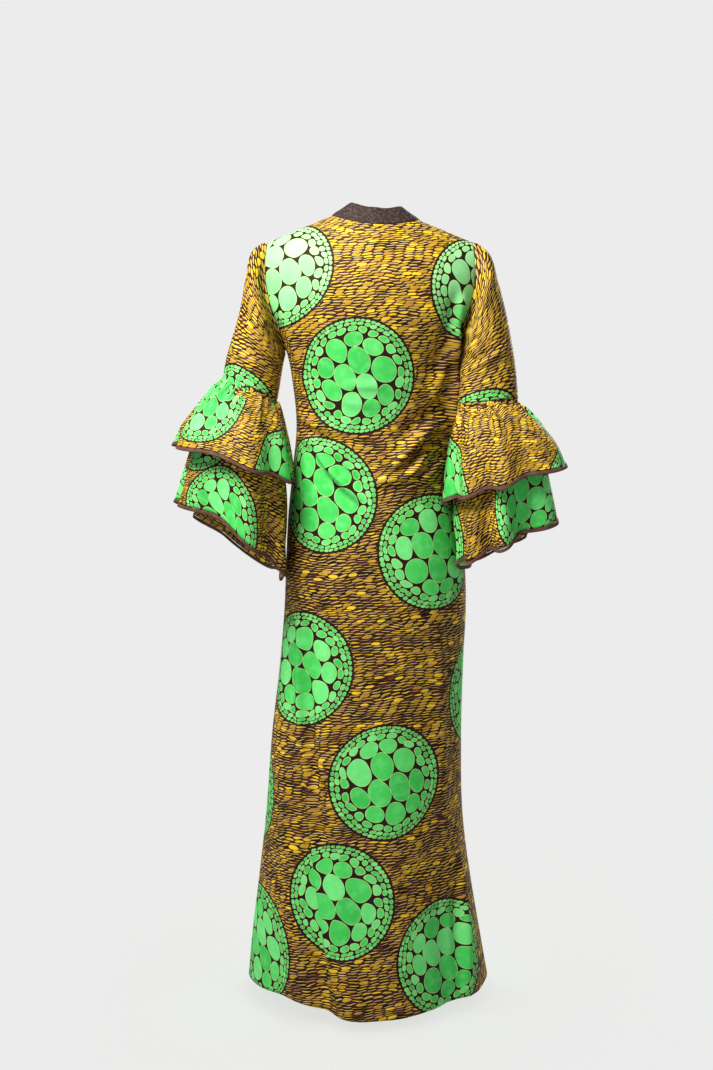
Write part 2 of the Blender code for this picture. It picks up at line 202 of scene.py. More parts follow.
BodySection = namedtuple("BodySection", "height half_width back_depth front_depth centre roundness")
BODY = table(
    BodySection,
    (0.050, 0.216, 0.100, 0.095, 0.000, 2.20),
    (-0.044, 0.210, 0.104, 0.104, 0.000, 2.20),
    (-0.085, 0.206, 0.107, 0.112, 0.000, 2.20),
    (-0.140, 0.196, 0.109, 0.122, 0.000, 2.20),
    (-0.190, 0.172, 0.109, 0.130, 0.000, 2.20),
    (-0.236, 0.1515, 0.106, 0.128, 0.000, 2.20),
    (-0.300, 0.139, 0.098, 0.114, 0.000, 2.20),
    (-0.372, 0.133, 0.091, 0.099, 0.000, 2.20),
    (-0.450, 0.143, 0.100, 0.101, -0.003, 2.20),
    (-0.540, 0.156, 0.114, 0.106, -0.007, 2.20),
    (-0.620, 0.163, 0.121, 0.110, -0.010, 2.20),
    (-0.700, 0.166, 0.123, 0.114, -0.010, 2.15),
    (-0.800, 0.168, 0.126, 0.121, -0.004, 2.10),
    (-0.950, 0.175, 0.136, 0.133, 0.006, 2.05),
    (-1.100, 0.183, 0.152, 0.148, 0.010, 1.95),
    (-1.230, 0.199, 0.171, 0.165, 0.009, 1.85),
    (-1.310, 0.211, 0.186, 0.179, 0.007, 1.80),
    (-1.405, 0.224, 0.201, 0.194, 0.003, 1.70),
)

ArmholePoint = namedtuple("ArmholePoint", "height reach")
ARMHOLE = table(
    ArmholePoint,
    (-0.044, 0.184),
    (-0.085, 0.187),
    (-0.142, 0.181),
    (-0.190, 0.166),
    (-0.236, 0.1515),
)

# A crease or fold: where it starts, bends and ends, and how far it stands out or, below nought, in
Crease = namedtuple("Crease", "start middle end half_width height")

# The largest folds of the skirt, in X and height
FOLDS = {
    "back": table(
        Crease,
        ((0.130, -0.660), (0.116, -1.060), (0.078, -1.405), 0.022, -0.015),
        ((0.098, -0.720), (0.076, -1.080), (0.030, -1.405), 0.034, 0.012),
        ((0.152, -0.760), (0.150, -1.100), (0.128, -1.405), 0.026, 0.009),
        ((-0.120, -1.000), (-0.165, -1.220), (-0.186, -1.405), 0.022, 0.010),
        ((-0.090, -0.980), (-0.128, -1.220), (-0.146, -1.405), 0.020, -0.008),
        ((-0.010, -0.900), (-0.030, -1.150), (-0.048, -1.405), 0.040, 0.007),
    ),
    "front": table(
        Crease,
        ((0.090, -0.640), (0.106, -1.020), (0.126, -1.405), 0.026, -0.012),
        ((0.040, -0.600), (0.052, -1.020), (0.066, -1.405), 0.034, 0.010),
        ((-0.020, -0.760), (-0.016, -1.080), (-0.008, -1.405), 0.026, -0.009),
        ((-0.064, -0.640), (-0.082, -1.020), (-0.100, -1.405), 0.034, 0.011),
        ((-0.106, -0.700), (-0.130, -1.060), (-0.152, -1.405), 0.024, -0.010),
    ),
}


# A ring round an arm: its outer and inner point seen from behind, its half depth, how far its middle lies
# behind the side seams, and how far its back and front bow out sideways. A ruffle's ring also has a front
# that hangs lower, a back that is lifted, and waves that stand out.
Ring = namedtuple(
    "Ring", "outer inner half_depth behind bow front_drop back_lift wave", defaults=(0.0, 0.0, 0.0)
)
LEFT_SLEEVE = table(
    Ring,
    ((0.208, -0.057), (0.1530, -0.2385), 0.056, 0.004, 0.014),
    ((0.221, -0.104), (0.1540, -0.2430), 0.060, 0.007, 0.010),
    ((0.232, -0.158), (0.1560, -0.2520), 0.060, 0.012, 0.005),
    ((0.247, -0.212), (0.1590, -0.2680), 0.057, 0.018, 0.001),
    ((0.257, -0.245), (0.1630, -0.2950), 0.055, 0.024, 0.000),
    ((0.2627, -0.2752), (0.1670, -0.3204), 0.055, 0.030, 0.000),
)
RIGHT_SLEEVE = table(
    Ring,
    ((0.211, -0.062), (0.1530, -0.2385), 0.056, 0.004, 0.013),
    ((0.228, -0.110), (0.1540, -0.2430), 0.060, 0.007, 0.008),
    ((0.245, -0.172), (0.1550, -0.2560), 0.060, 0.012, 0.002),
    ((0.255, -0.223), (0.1535, -0.2760), 0.057, 0.018, 0.000),
    ((0.262, -0.272), (0.1525, -0.3030), 0.056, 0.024, 0.000),
    ((0.266, -0.3187), (0.1520, -0.3292), 0.056, 0.030, 0.000),
)
LEFT_UPPER = table(
    Ring,
    ((0.287, -0.298), (0.1590, -0.3300), 0.072, 0.036, 0.0, 0.000, 0.000, 0.003),
    ((0.307, -0.322), (0.1540, -0.3480), 0.086, 0.043, 0.0, 0.004, 0.001, 0.005),
    ((0.330, -0.361), (0.1470, -0.3960), 0.099, 0.052, 0.0, 0.010, 0.004, 0.008),
    ((0.3440, -0.398), (0.1380, -0.4650), 0.110, 0.060, 0.0, 0.016, 0.008, 0.011),
)
LEFT_LOWER = table(
    Ring,
    ((0.282, -0.301), (0.1640, -0.3340), 0.064, 0.036, 0.0, 0.000, 0.000, 0.002),
    ((0.299, -0.338), (0.1600, -0.3740), 0.074, 0.043, 0.0, 0.004, 0.002, 0.003),
    ((0.314, -0.390), (0.1560, -0.4360), 0.086, 0.052, 0.0, 0.010, 0.010, 0.006),
    ((0.326, -0.446), (0.1520, -0.5120), 0.097, 0.056, 0.0, 0.018, 0.014, 0.011),
    ((0.340, -0.503), (0.1480, -0.6350), 0.108, 0.050, 0.0, 0.030, 0.026, 0.017),
)
RIGHT_UPPER = table(
    Ring,
    ((0.286, -0.334), (0.1500, -0.3400), 0.072, 0.036, 0.0, 0.000, 0.000, 0.003),
    ((0.304, -0.350), (0.1460, -0.3580), 0.086, 0.043, 0.0, 0.004, 0.001, 0.005),
    ((0.328, -0.387), (0.1405, -0.4120), 0.099, 0.052, 0.0, 0.010, 0.003, 0.008),
    ((0.348, -0.432), (0.1340, -0.4980), 0.110, 0.060, 0.0, 0.016, 0.005, 0.011),
)
RIGHT_LOWER = table(
    Ring,
    ((0.280, -0.336), (0.1560, -0.3430), 0.064, 0.036, 0.0, 0.000, 0.000, 0.002),
    ((0.298, -0.366), (0.1560, -0.3800), 0.074, 0.043, 0.0, 0.004, 0.002, 0.003),
    ((0.313, -0.420), (0.1540, -0.4480), 0.086, 0.052, 0.0, 0.010, 0.002, 0.006),
    ((0.322, -0.476), (0.1520, -0.5220), 0.097, 0.056, 0.0, 0.018, 0.004, 0.011),
    ((0.331, -0.530), (0.1500, -0.6150), 0.108, 0.050, 0.0, 0.030, 0.006, 0.017),
)

Arm = namedtuple("Arm", "name sign sleeve upper lower wave_start")
ARMS = table(
    Arm,
    ("left", 1, LEFT_SLEEVE, LEFT_UPPER, LEFT_LOWER, 0.6),
    ("right", -1, RIGHT_SLEEVE, RIGHT_UPPER, RIGHT_LOWER, 2.1),
)

# Cells in the middle of a roundel, in metres and degrees. The pattern turns and mirrors six times round.
# Its number round the roundel goes up at every step, counted from the start.
MiddleCell = namedtuple("MiddleCell", "distance turn half_depth half_width step start")
MIDDLE_CELLS = table(
    MiddleCell,
    (0.0243, 0.0, 0.0214, 0.0212, 120.0, -60.0),
    (0.0578, 18.6, 0.0148, 0.0182, 60.0, 0.0),
    (0.0508, 60.0, 0.0217, 0.0202, 120.0, 0.0),
)
MIDDLE_RADIUS = 0.0708
MIDDLE_LOBES = 9

# Rings of cells round them: outer edge, how many cells, their middle line and half their depth
CellRing = namedtuple("CellRing", "outer count middle half_depth")
CELL_RINGS = table(
    CellRing,
    (0.0852, 25, 0.0780, 0.0074),
    (0.0940, 45, 0.0896, 0.0045),
    (0.1013, 66, 0.0976, 0.0037),
)
ROUNDEL_RADIUS = CELL_RINGS[-1].outer

# Numbers that keep the print's random draws apart from each other
KIND_SALT = 10.0
MIDDLE_SALT = 3.0
ROW_SALT = (5.0, 2.0)
DASH_SALT = 7.0

# Plain brown cotton
BROWN_ROUGHNESS = 0.8
BROWN_SPECULAR = 0.2
BROWN_MOTTLE = (0.42, 0.70)
BROWN_THREAD_SCALE = 700.0
BROWN_THREAD_DEPTH = 0.0005
BROWN_THREAD_STRENGTH = 0.2
BINDING_MOTTLE_SCALE = 60.0
BAND_MOTTLE_SCALE = 240.0

# Where the roundels' centres lie on each cut piece: across to its own right as seen from outside, and down
ROUNDELS = {
    "dress_back": (
        (-0.175, 0.088), (0.207, 0.118), (-0.025, 0.281), (-0.096, 0.494), (0.107, 0.597),
        (-0.137, 0.809), (0.260, 0.858), (0.036, 1.007), (-0.050, 1.220), (-0.262, 1.330),
        (0.158, 1.334), (-0.305, 1.050),
    ),
    "dress_front": (
        (-0.203, 0.095), (0.207, 0.120), (0.020, 0.330), (-0.055, 0.550), (0.168, 0.654),
        (-0.242, 0.654), (-0.090, 0.864), (0.300, 0.880), (0.068, 1.073), (-0.300, 1.073),
        (-0.007, 1.293), (0.216, 1.397), (-0.230, 1.380),
    ),
    "sleeve_left": ((-0.190, 0.085), (-0.016, 0.256)),
    "sleeve_right": ((0.192, 0.075), (-0.006, 0.285)),
    "ruffle_upper_left": ((-0.093, 0.040), (0.158, 0.184), (-0.327, 0.120)),
    "ruffle_lower_left": ((-0.021, 0.275), (-0.106, 0.088), (0.178, 0.044), (-0.307, 0.240)),
    "ruffle_upper_right": ((0.208, 0.010), (0.200, 0.215), (-0.216, 0.175), (0.444, 0.100)),
    "ruffle_lower_right": ((0.070, 0.202), (-0.285, 0.205), (0.316, 0.140)),
}
NO_ROUNDEL = (9.0, 9.0)

# The creases of each piece, on its own cut as the roundels are
CREASES = {
    "dress_back": table(
        Crease,
        ((0.164, 0.190), (0.157, 0.310), (0.152, 0.430), 0.0088, -0.0240),
        ((0.156, 0.350), (0.100, 0.378), (0.036, 0.446), 0.0070, -0.0240),
        ((0.146, 0.322), (0.104, 0.350), (0.040, 0.398), 0.0110, 0.0110),
        ((0.120, 0.396), (0.066, 0.458), (-0.004, 0.474), 0.0062, -0.0200),
        ((0.138, 0.388), (0.086, 0.416), (0.036, 0.462), 0.0100, 0.0095),
        ((0.160, 0.425), (0.100, 0.458), (0.040, 0.500), 0.0080, -0.0120),
        ((-0.104, 0.412), (-0.064, 0.462), (-0.022, 0.506), 0.0055, -0.0150),
        ((-0.092, 0.402), (-0.052, 0.446), (-0.012, 0.488), 0.0080, 0.0070),
        ((-0.035, 0.420), (-0.012, 0.458), (0.006, 0.508), 0.0080, -0.0044),
        ((0.174, 0.130), (0.156, 0.225), (0.112, 0.335), 0.0110, -0.0114),
        ((0.158, 0.120), (0.136, 0.225), (0.096, 0.310), 0.0120, 0.0085),
        ((-0.170, 0.150), (-0.152, 0.225), (-0.122, 0.310), 0.0110, -0.0068),
        ((-0.150, 0.355), (-0.102, 0.368), (-0.052, 0.380), 0.0070, -0.0068),
        ((-0.150, 0.396), (-0.098, 0.407), (-0.055, 0.428), 0.0070, -0.0057),
        ((-0.148, 0.375), (-0.100, 0.387), (-0.060, 0.402), 0.0080, 0.0048),
        ((-0.050, 0.296), (-0.010, 0.300), (0.030, 0.297), 0.0045, -0.0042),
        ((-0.054, 0.325), (-0.016, 0.331), (0.020, 0.332), 0.0050, -0.0031),
        ((-0.152, 0.690), (-0.138, 0.885), (-0.096, 1.110), 0.0080, -0.0104),
        ((-0.112, 1.000), (-0.090, 1.180), (-0.062, 1.405), 0.0085, -0.0123),
        ((-0.132, 0.740), (-0.112, 0.920), (-0.060, 1.200), 0.0150, 0.0080),
        ((0.205, 1.160), (0.213, 1.290), (0.217, 1.425), 0.0090, -0.0123),
        ((0.185, 1.180), (0.192, 1.300), (0.196, 1.420), 0.0110, 0.0085),
        ((0.110, 0.700), (0.140, 0.900), (0.165, 1.150), 0.0160, -0.0061),
    ),
    "dress_front": table(
        Crease,
        ((-0.168, 0.350), (-0.096, 0.368), (-0.018, 0.400), 0.0090, -0.0087),
        ((-0.160, 0.330), (-0.100, 0.346), (-0.034, 0.374), 0.0100, 0.0068),
        ((0.160, 0.372), (0.094, 0.384), (0.030, 0.420), 0.0080, -0.0072),
        ((0.150, 0.425), (0.070, 0.440), (-0.010, 0.462), 0.0085, -0.0057),
        ((-0.172, 0.140), (-0.154, 0.235), (-0.110, 0.330), 0.0110, -0.0099),
        ((0.172, 0.145), (0.150, 0.230), (0.118, 0.315), 0.0110, -0.0080),
        ((0.060, 0.510), (0.084, 0.720), (0.100, 1.000), 0.0120, -0.0085),
        ((-0.080, 0.560), (-0.092, 0.800), (-0.118, 1.120), 0.0110, -0.0095),
        ((0.150, 1.080), (0.166, 1.230), (0.176, 1.400), 0.0100, -0.0104),
        ((-0.012, 0.930), (0.004, 1.150), (0.012, 1.400), 0.0140, 0.0076),
    ),
    "sleeve_left": table(
        Crease,
        ((-0.070, 0.120), (-0.010, 0.140), (0.055, 0.146), 0.0065, -0.0057),
        ((-0.040, 0.090), (0.010, 0.104), (0.064, 0.102), 0.0070, -0.0044),
        ((0.050, 0.010), (0.020, 0.040), (-0.020, 0.080), 0.0080, -0.0041),
    ),
    "sleeve_right": table(
        Crease,
        ((-0.066, 0.016), (-0.030, 0.060), (-0.004, 0.118), 0.0085, -0.0085),
        ((-0.058, 0.060), (-0.024, 0.100), (0.018, 0.158), 0.0070, -0.0065),
        ((0.070, 0.118), (0.020, 0.132), (-0.040, 0.136), 0.0065, -0.0044),
    ),
}
CREASE_END_POWER = 0.7


def smooth_curve(places, values, wanted):
    """Values at the wanted places, on a smooth curve through values that lie at rising places."""
    slopes = np.gradient(values, places, axis=0)
    i = np.clip(np.searchsorted(places, wanted, side="right") - 1, 0, len(places) - 2)
    spread = (..., *[None] * (values.ndim - 1))
    step = (places[i + 1] - places[i])[spread]
    t = (wanted - places[i])[spread] / step
    start = (1 + 2 * t) * (1 - t) ** 2 * values[i] + t * (1 - t) ** 2 * step * slopes[i]
    end = t**2 * (3 - 2 * t) * values[i + 1] + t**2 * (t - 1) * step * slopes[i + 1]
    return start + end


def smooth_value(rows, column, height):
    """A column's values at the heights, on a smooth curve through the table's rows, which run downwards."""
    heights = np.array([row.height for row in reversed(rows)])
    values = np.array([getattr(row, column) for row in reversed(rows)])
    return smooth_curve(heights, values, np.clip(height, heights[0], heights[-1]))


def shoulder_height(x):
    """Height of the shoulder seam, run on across the neck as a rounded ridge."""
    inward = math.hypot(SHOULDER_REACH, NAPE_ROUND) - np.hypot(x, NAPE_ROUND)
    return SHOULDER_TIP_HEIGHT + SHOULDER_SLOPE * inward


def body_depth(side, x, height):
    """How far the body's cloth lies behind (or before) the side seams at this place."""
    half_width = smooth_value(BODY, "half_width", height)
    depth = smooth_value(BODY, side + "_depth", height)
    across = np.minimum(np.abs(x - smooth_value(BODY, "centre", height)) / half_width, 1.0)
    power = smooth_value(BODY, "roundness", height)
    ring = (1 - across**power) ** (1 / power)
    drop = np.clip((shoulder_height(x) - height) / ARMHOLE_DROP, 0.0, 1.0)
    return depth * ring * np.sqrt(1 - (1 - drop) ** 2)


def top_places(finer):
    """Across each panel's top edge: shoulder seam, neckline and shoulder seam, from +X to -X."""
    left_neck = NECK_CENTRE + NECK_HALF_WIDTH
    right_neck = NECK_CENTRE - NECK_HALF_WIDTH
    left = np.linspace(SHOULDER_REACH, left_neck, SHOULDER_COLUMNS * finer + 1)
    neck = np.linspace(left_neck, right_neck, NECK_COLUMNS * finer + 1)
    right = np.linspace(right_neck, -SHOULDER_REACH, SHOULDER_COLUMNS * finer + 1)
    return np.concatenate([left, neck[1:], right[1:]])


def top_height(side, x):
    """Height of a panel's top edge: the shoulder seam, or the neckline where it dips between them."""
    across = (x - NECK_CENTRE) / NECK_HALF_WIDTH
    inside = np.clip(np.abs(across), 0.0, 1.0)
    ends = [NECK_CENTRE - NECK_HALF_WIDTH, NECK_CENTRE + NECK_HALF_WIDTH]
    corner = np.interp(x, ends, [shoulder_height(end) for end in ends])
    if side == "back":
        neck = corner - BACK_NECK_DIP * (1 - inside**2)
    else:
        neck = corner - FRONT_NECK_DEPTH * (1 - inside**FRONT_NECK_POINT)
    return np.where(np.abs(across) >= 1, shoulder_height(x), neck)


def distance_along(x, height, start, end):
    """Distance of each place from a line, and how far along the line the nearest place lies."""
    line = np.subtract(end, start)
    along = ((x - start[0]) * line[0] + (height - start[1]) * line[1]) / np.dot(line, line)
    along = np.clip(along, 0, 1)
    return np.hypot(x - start[0] - along * line[0], height - start[1] - along * line[1]), along


def place_on(crease, x, y):
    """How far along a crease each place lies, from nought to one, and how far off it in its half widths."""
    above, upper_part = distance_along(x, y, crease.start, crease.middle)
    below, lower_part = distance_along(x, y, crease.middle, crease.end)
    along = np.where(above < below, upper_part, 1 + lower_part) / 2
    return along, np.minimum(above, below) / crease.half_width


def fold_height(side, x, height):
    """How far the skirt's folds move the cloth out at this place."""
    total = np.zeros_like(x)
    for fold in FOLDS[side]:
        growth, away = place_on(fold, x, height)
        total += fold.height * np.sin(growth * math.pi / 2) * np.exp(-(away**2))
    return total


def hem_dip(side, x, ring_share):
    """How far a panel's hem hangs below its side seams. The back is lifted a little on its left."""
    if side == "front":
        return 0.0
    lift = HEM_LIFT * np.exp(-(((x - HEM_LIFT_PLACE) / HEM_LIFT_REACH) ** 2))
    return (BACK_HEM_DIP - lift) * (1 - ring_share**2)


def panel_grid(side, finer):
    """Points of the front or back, row by row from the shoulders to the hem, each row from +X to -X."""
    facing = 1 if side == "back" else -1
    top = top_places(finer)
    across = np.linspace(1, -1, len(top))
    ring_share = np.sin(across * math.pi / 2)
    drops = 1 - np.cos(np.linspace(0, math.pi / 2, SHOULDER_ROWS + 1))
    upper = SHOULDER_TIP_HEIGHT - ARMHOLE_DROP * drops
    lower = np.linspace(UNDERARM_HEIGHT, HEM_HEIGHT, SKIRT_ROWS + 1)
    rows = []
    for side_height in [*upper[:-1], *lower]:
        squared = max(0.0, (side_height - UNDERARM_HEIGHT) / ARMHOLE_DROP)
        lift = max(0.0, (side_height - WAIST_HEIGHT) / (SHOULDER_TIP_HEIGHT - WAIST_HEIGHT))
        fall = max(0.0, (WAIST_HEIGHT - side_height) / (WAIST_HEIGHT - HEM_HEIGHT)) ** 2
        height = side_height + lift * (top_height(side, top) - SHOULDER_TIP_HEIGHT)
        if side_height > UNDERARM_HEIGHT + ROUNDING:
            reach = smooth_value(ARMHOLE, "reach", side_height)
            x = reach * ((1 - squared) * ring_share + squared * top / SHOULDER_REACH)
        else:
            centre = smooth_value(BODY, "centre", side_height)
            x = centre + smooth_value(BODY, "half_width", side_height) * ring_share
        y = body_depth(side, x, height)
        off = side_height - SIDE_FULLNESS_HEIGHT
        off = off / (SIDE_FULLNESS_REACH if off > 0 else SIDE_FULLNESS_FALL)
        x = x - SIDE_FULLNESS * math.exp(-(off**2)) * np.maximum(0.0, -ring_share) ** SIDE_FULLNESS_POWER
        height = height - fall * hem_dip(side, x, ring_share)
        centre = smooth_value(BODY, "centre", height)
        fade = 1 - np.abs(across) ** EDGE_FADE_POWER
        push = fade * fold_height(side, x, height) / np.maximum(np.hypot(x - centre, y), LEAST_RADIUS)
        row = np.stack([x + push * (x - centre), facing * (y * (1 + push) + PANEL_HALF_GAP), height], axis=1)
        rows.append(row)
    return np.array(rows)


def clear_of_body(points, room):
    """The points, moved straight out from the body's axis where they lie nearer than the room."""
    x, y, height = points.T
    half_width = smooth_value(BODY, "half_width", height) + room
    back = smooth_value(BODY, "back_depth", height)
    depth = np.where(y > 0, back, smooth_value(BODY, "front_depth", height)) + room
    centre = smooth_value(BODY, "centre", height)
    power = smooth_value(BODY, "roundness", height)
    size = (np.abs((x - centre) / half_width) ** power + np.abs(y / depth) ** power) ** (1 / power)
    size = np.where((size >= 1) | (height > UNDERARM_HEIGHT), 1.0, size)
    return np.stack([centre + (x - centre) / size, y / size, height], axis=1)


def arm_ring(arm, ring, count, room, shrink=0.0):
    """Points round an arm, the outermost first, then round its back."""
    angle = np.linspace(0, 2 * math.pi, count + 1)
    uneven = angle + WAVE_UNEVENNESS * np.sin(2 * angle + arm.wave_start)
    calm = 1 - INNER_CALM * np.maximum(0.0, -np.cos(angle))
    wave = ring.wave * calm * np.cos(RUFFLE_WAVES * uneven + arm.wave_start)
    half = np.subtract(ring.outer, ring.inner) / 2
    middle = np.add(ring.outer, ring.inner) / 2
    stretch = 1 + (wave - shrink) / float(np.linalg.norm(half))
    x = middle[0] + half[0] * np.cos(angle) * stretch + ring.bow * np.abs(np.sin(angle))
    y = ring.behind + ring.half_depth * np.sin(angle) * stretch
    height = middle[1] + half[1] * np.cos(angle) * stretch
    height = height + ring.back_lift * np.maximum(0.0, np.sin(angle)) ** 2
    height = height - ring.front_drop * np.maximum(0.0, -np.sin(angle)) - WAVE_DROP * wave
    return clear_of_body(np.stack([arm.sign * x, y, height], axis=1), room)


def armhole_ring(arm, count, out):
    """Points round an armhole, moved out along X, in the same order as a ring of the sleeve."""
    angle = np.linspace(0, 2 * math.pi, count + 1)
    height = UNDERARM_HEIGHT + ARMHOLE_DROP * (1 + np.cos(angle)) / 2
    reach = smooth_value(ARMHOLE, "reach", height)
    back = body_depth("back", reach, height)
    depth = np.where(np.sin(angle) >= 0, back, body_depth("front", reach, height))
    return np.stack([arm.sign * (reach + out), np.copysign(depth, np.sin(angle)), height], axis=1)


def run_on(before, hem, reach):
    """A row past the hem by the reach, or short of it below nought, on the lines from the row before."""
    step = hem - before
    return hem + step * reach / np.linalg.norm(step, axis=1, keepdims=True)


def between_rows(rows, count):
    """A finer grid of rows on smooth curves through these rows, evenly spread over their mean length."""
    rows = np.array(rows)
    steps = np.linalg.norm(np.diff(rows, axis=0), axis=2).mean(axis=1)
    along = np.concatenate([[0], np.cumsum(steps)])
    return smooth_curve(along, rows, np.linspace(0, along[-1], count + 1))


def inner_first(grid):
    """The columns of a tube reordered to start and end at the seam under the arm."""
    half = grid.shape[1] // 2
    return np.concatenate([grid[:, half:-1], grid[:, : half + 1]], axis=1)


def sleeve_grid(arm):
    rows = [armhole_ring(arm, SLEEVE_AROUND, ARMHOLE_GAP), armhole_ring(arm, SLEEVE_AROUND, SEAM_LIP)]
    rows += [arm_ring(arm, ring, SLEEVE_AROUND, SLEEVE_ROOM) for ring in arm.sleeve]
    return inner_first(between_rows(rows, SLEEVE_ROWS))


def ruffle_rows(arm, rings, room, shrink):
    """A ruffle's rings from the elbow seam to its hem. Shrink sets its top inside the wall before it."""
    before, seam = [arm_ring(arm, ring, RUFFLE_AROUND, SLEEVE_ROOM, shrink) for ring in arm.sleeve[-2:]]
    rows = [run_on(before, seam, SEAM_GAP), run_on(before, seam, SEAM_LIP)]
    rows += [arm_ring(arm, ring, RUFFLE_AROUND, room) for ring in rings]
    return rows


def facing_out(grid):
    """Unit normals of a grid of points, for rows that run down and columns that run from +X to -X behind."""
    down = np.gradient(grid, axis=0)
    along = np.gradient(grid, axis=1)
    normals = np.cross(along, down)
    return normals / np.maximum(np.linalg.norm(normals, axis=2, keepdims=True), LEAST_LENGTH)


def lengths(grid, axis, flat=False):
    """Running length over a grid's rows or columns. Flat leaves out the height."""
    steps = np.diff(grid[..., :2] if flat else grid, axis=axis)
    steps = np.linalg.norm(steps, axis=2)
    start = np.zeros_like(np.take(steps, [0], axis=axis))
    return np.cumsum(np.concatenate([start, steps], axis=axis), axis=axis)


def panel_cut(grid):
    """Places on a panel's own cloth: across from its middle, and down from the shoulders' height."""
    across = lengths(grid, 1, flat=True)
    across = across - across[:, [across.shape[1] // 2]]
    down = lengths(grid, 0)
    down = down - down[[SHOULDER_ROWS]] - grid[SHOULDER_ROWS, :, 2]
    return across, down


def tube_cut(grid, back_share):
    """Places on a tube's own cloth: round from the middle of its back, and down from its top.

    The middle of the back lies at this share of the columns.
    """
    around = lengths(grid, 1)
    around = around - around[:, [int(back_share * (around.shape[1] - 1))]]
    down = lengths(grid, 0).mean(axis=1, keepdims=True)
    return around, np.broadcast_to(down, around.shape).copy()


def eased(share):
    """A share from nought to one with soft ends."""
    share = np.clip(share, 0, 1)
    return share * share * (3 - 2 * share)


def gathers(arm, down):
    """How far the cloth gathered into a seam stands out: a bulge cut by uneven valleys, and fine puckers."""
    turn = np.linspace(0, 2 * math.pi, down.shape[1])
    fallen = down / down.max()
    valleys = np.zeros_like(down)
    for k in range(VALLEYS):
        luck = math.modf(GOLDEN_SHARE * (k + 1) + arm.wave_start)[0]
        other = math.modf(luck * LUCK_STEP + LUCK_START)[0]
        place = 2 * math.pi * (k + VALLEY_SHIFT * luck) / VALLEYS
        away = turn - place - VALLEY_LEAN * (other - 0.5) * fallen
        away = (away + math.pi) % (2 * math.pi) - math.pi
        width = VALLEY_HALF_WIDTH * (VALLEY_LEAST_WIDTH + 2 * (1 - VALLEY_LEAST_WIDTH) * other)
        reach = VALLEY_LEAST_DEPTH + (1 - VALLEY_LEAST_DEPTH) * other
        depth = (VALLEY_LEAST_DEPTH + (1 - VALLEY_LEAST_DEPTH) * luck) * (1 - eased(fallen / reach))
        valleys = np.maximum(valleys, depth * np.exp(-((away / width) ** 2)))
    bulge = eased(down / GATHER_RISE) * (1 - eased(fallen / GATHER_REACH))
    puckers = (1 + np.cos(PUCKERS * turn + np.sin(PUCKER_SWAY * turn))) / 2 * np.exp(-down / PUCKER_REACH)
    return GATHER_HEIGHT * bulge * (1 - valleys) + PUCKER_HEIGHT * puckers


def creases_on(name, across, down):
    """How far a piece's own creases move its cloth out."""
    total = np.zeros_like(across)
    for crease in CREASES.get(name, ()):
        along, away = place_on(crease, across, down)
        total += crease.height * np.sin(along * math.pi) ** CREASE_END_POWER * np.exp(-(away**2))
    return total


def roundels_of(name):
    """Centres of a piece's roundels, and for each a seed that no other roundel of the dress has."""
    every = [(piece, centre) for piece, centres in ROUNDELS.items() for centre in centres]
    own = [(k, centre) for k, (piece, centre) in enumerate(every) if piece == name]
    centres = np.array([centre for _, centre in own] or [NO_ROUNDEL])
    seeds = np.array([math.modf(GOLDEN_SHARE * (k + 1))[0] for k, _ in own] or [0.0])
    return centres, seeds


def add_cloth(name, grid, across, down, material, thickness, closed):
    """A thin shell through a grid of points, with its cut kept as a UV map and its roundels as another."""
    rows, columns = grid.shape[:2]
    bpy.ops.object.select_all(action="DESELECT")
    bpy.ops.mesh.primitive_grid_add(x_subdivisions=columns - 1, y_subdivisions=rows - 1, size=1)
    piece = bpy.context.object
    piece.name = name + "_cloth"
    piece.data.name = piece.name
    mesh = piece.data
    # The new grid's points run along its columns first, from its own near row to its far one.
    mesh.vertices.foreach_set("co", grid.reshape(-1, 3).astype(np.float32).ravel())
    loops = np.empty(len(mesh.loops), np.int64)
    mesh.loops.foreach_get("vertex_index", loops)
    places = np.stack([across.ravel(), down.ravel()], axis=1)
    cloth_map = mesh.uv_layers[0]
    cloth_map.name = "cloth"
    cloth_map.uv.foreach_set("vector", places[loops].astype(np.float32).ravel())
    centres, seeds = roundels_of(name)
    corners = places[loops].reshape(-1, 4, 2)
    middles = corners.mean(axis=1)
    nearest = np.argmin(np.linalg.norm(middles[:, None] - centres[None], axis=2), axis=1)
    offsets = corners - centres[nearest][:, None]
    roundel_map = mesh.uv_layers.new(name="roundel")
    roundel_map.uv.foreach_set("vector", offsets.astype(np.float32).ravel())
    seed = mesh.attributes.new("roundel_seed", "FLOAT", "FACE")
    seed.data.foreach_set("value", seeds[nearest].astype(np.float32))
    mesh.update()
    bpy.ops.object.mode_set(mode="EDIT")
    bpy.ops.mesh.select_all(action="SELECT")
    if closed:
        bpy.ops.mesh.remove_doubles(threshold=WELD_DISTANCE)
    bpy.ops.object.mode_set(mode="OBJECT")
    bpy.ops.object.shade_smooth()
    wall = piece.modifiers.new("wall", "SOLIDIFY")
    wall.thickness = thickness
    wall.offset = -1
    bpy.ops.object.modifier_apply(modifier=wall.name)
    mesh.materials.clear()
    mesh.materials.append(material)
    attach(piece, "root")
    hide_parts(name)
    return piece


def sew(name, grid, across, down, slot, held, rests_on, closed=True, length=None):
    """Adds a piece of one of the three cloths, and works out the flat size that it is cut to, which it keeps
    nowhere.
    """
    settings = bpy.context.scene.dress_cloth
    material, thickness = {
        "print_cotton": ("wax_print", settings.cloth_thickness),
        "brown_binding": ("binding_cotton", BINDING_THICKNESS),
        "brown_neckband": ("neckband_cotton", settings.band_thickness),
    }[slot]
    piece = add_cloth(name, grid, across, down, named_material(material), thickness, closed)
    width = float(across.max() - across.min())
    length = length or float(down.max() - down.min())
    spans = (across.max(axis=1) - across.min(axis=1)).mean()
    area = min(float(spans) * length, width * length)


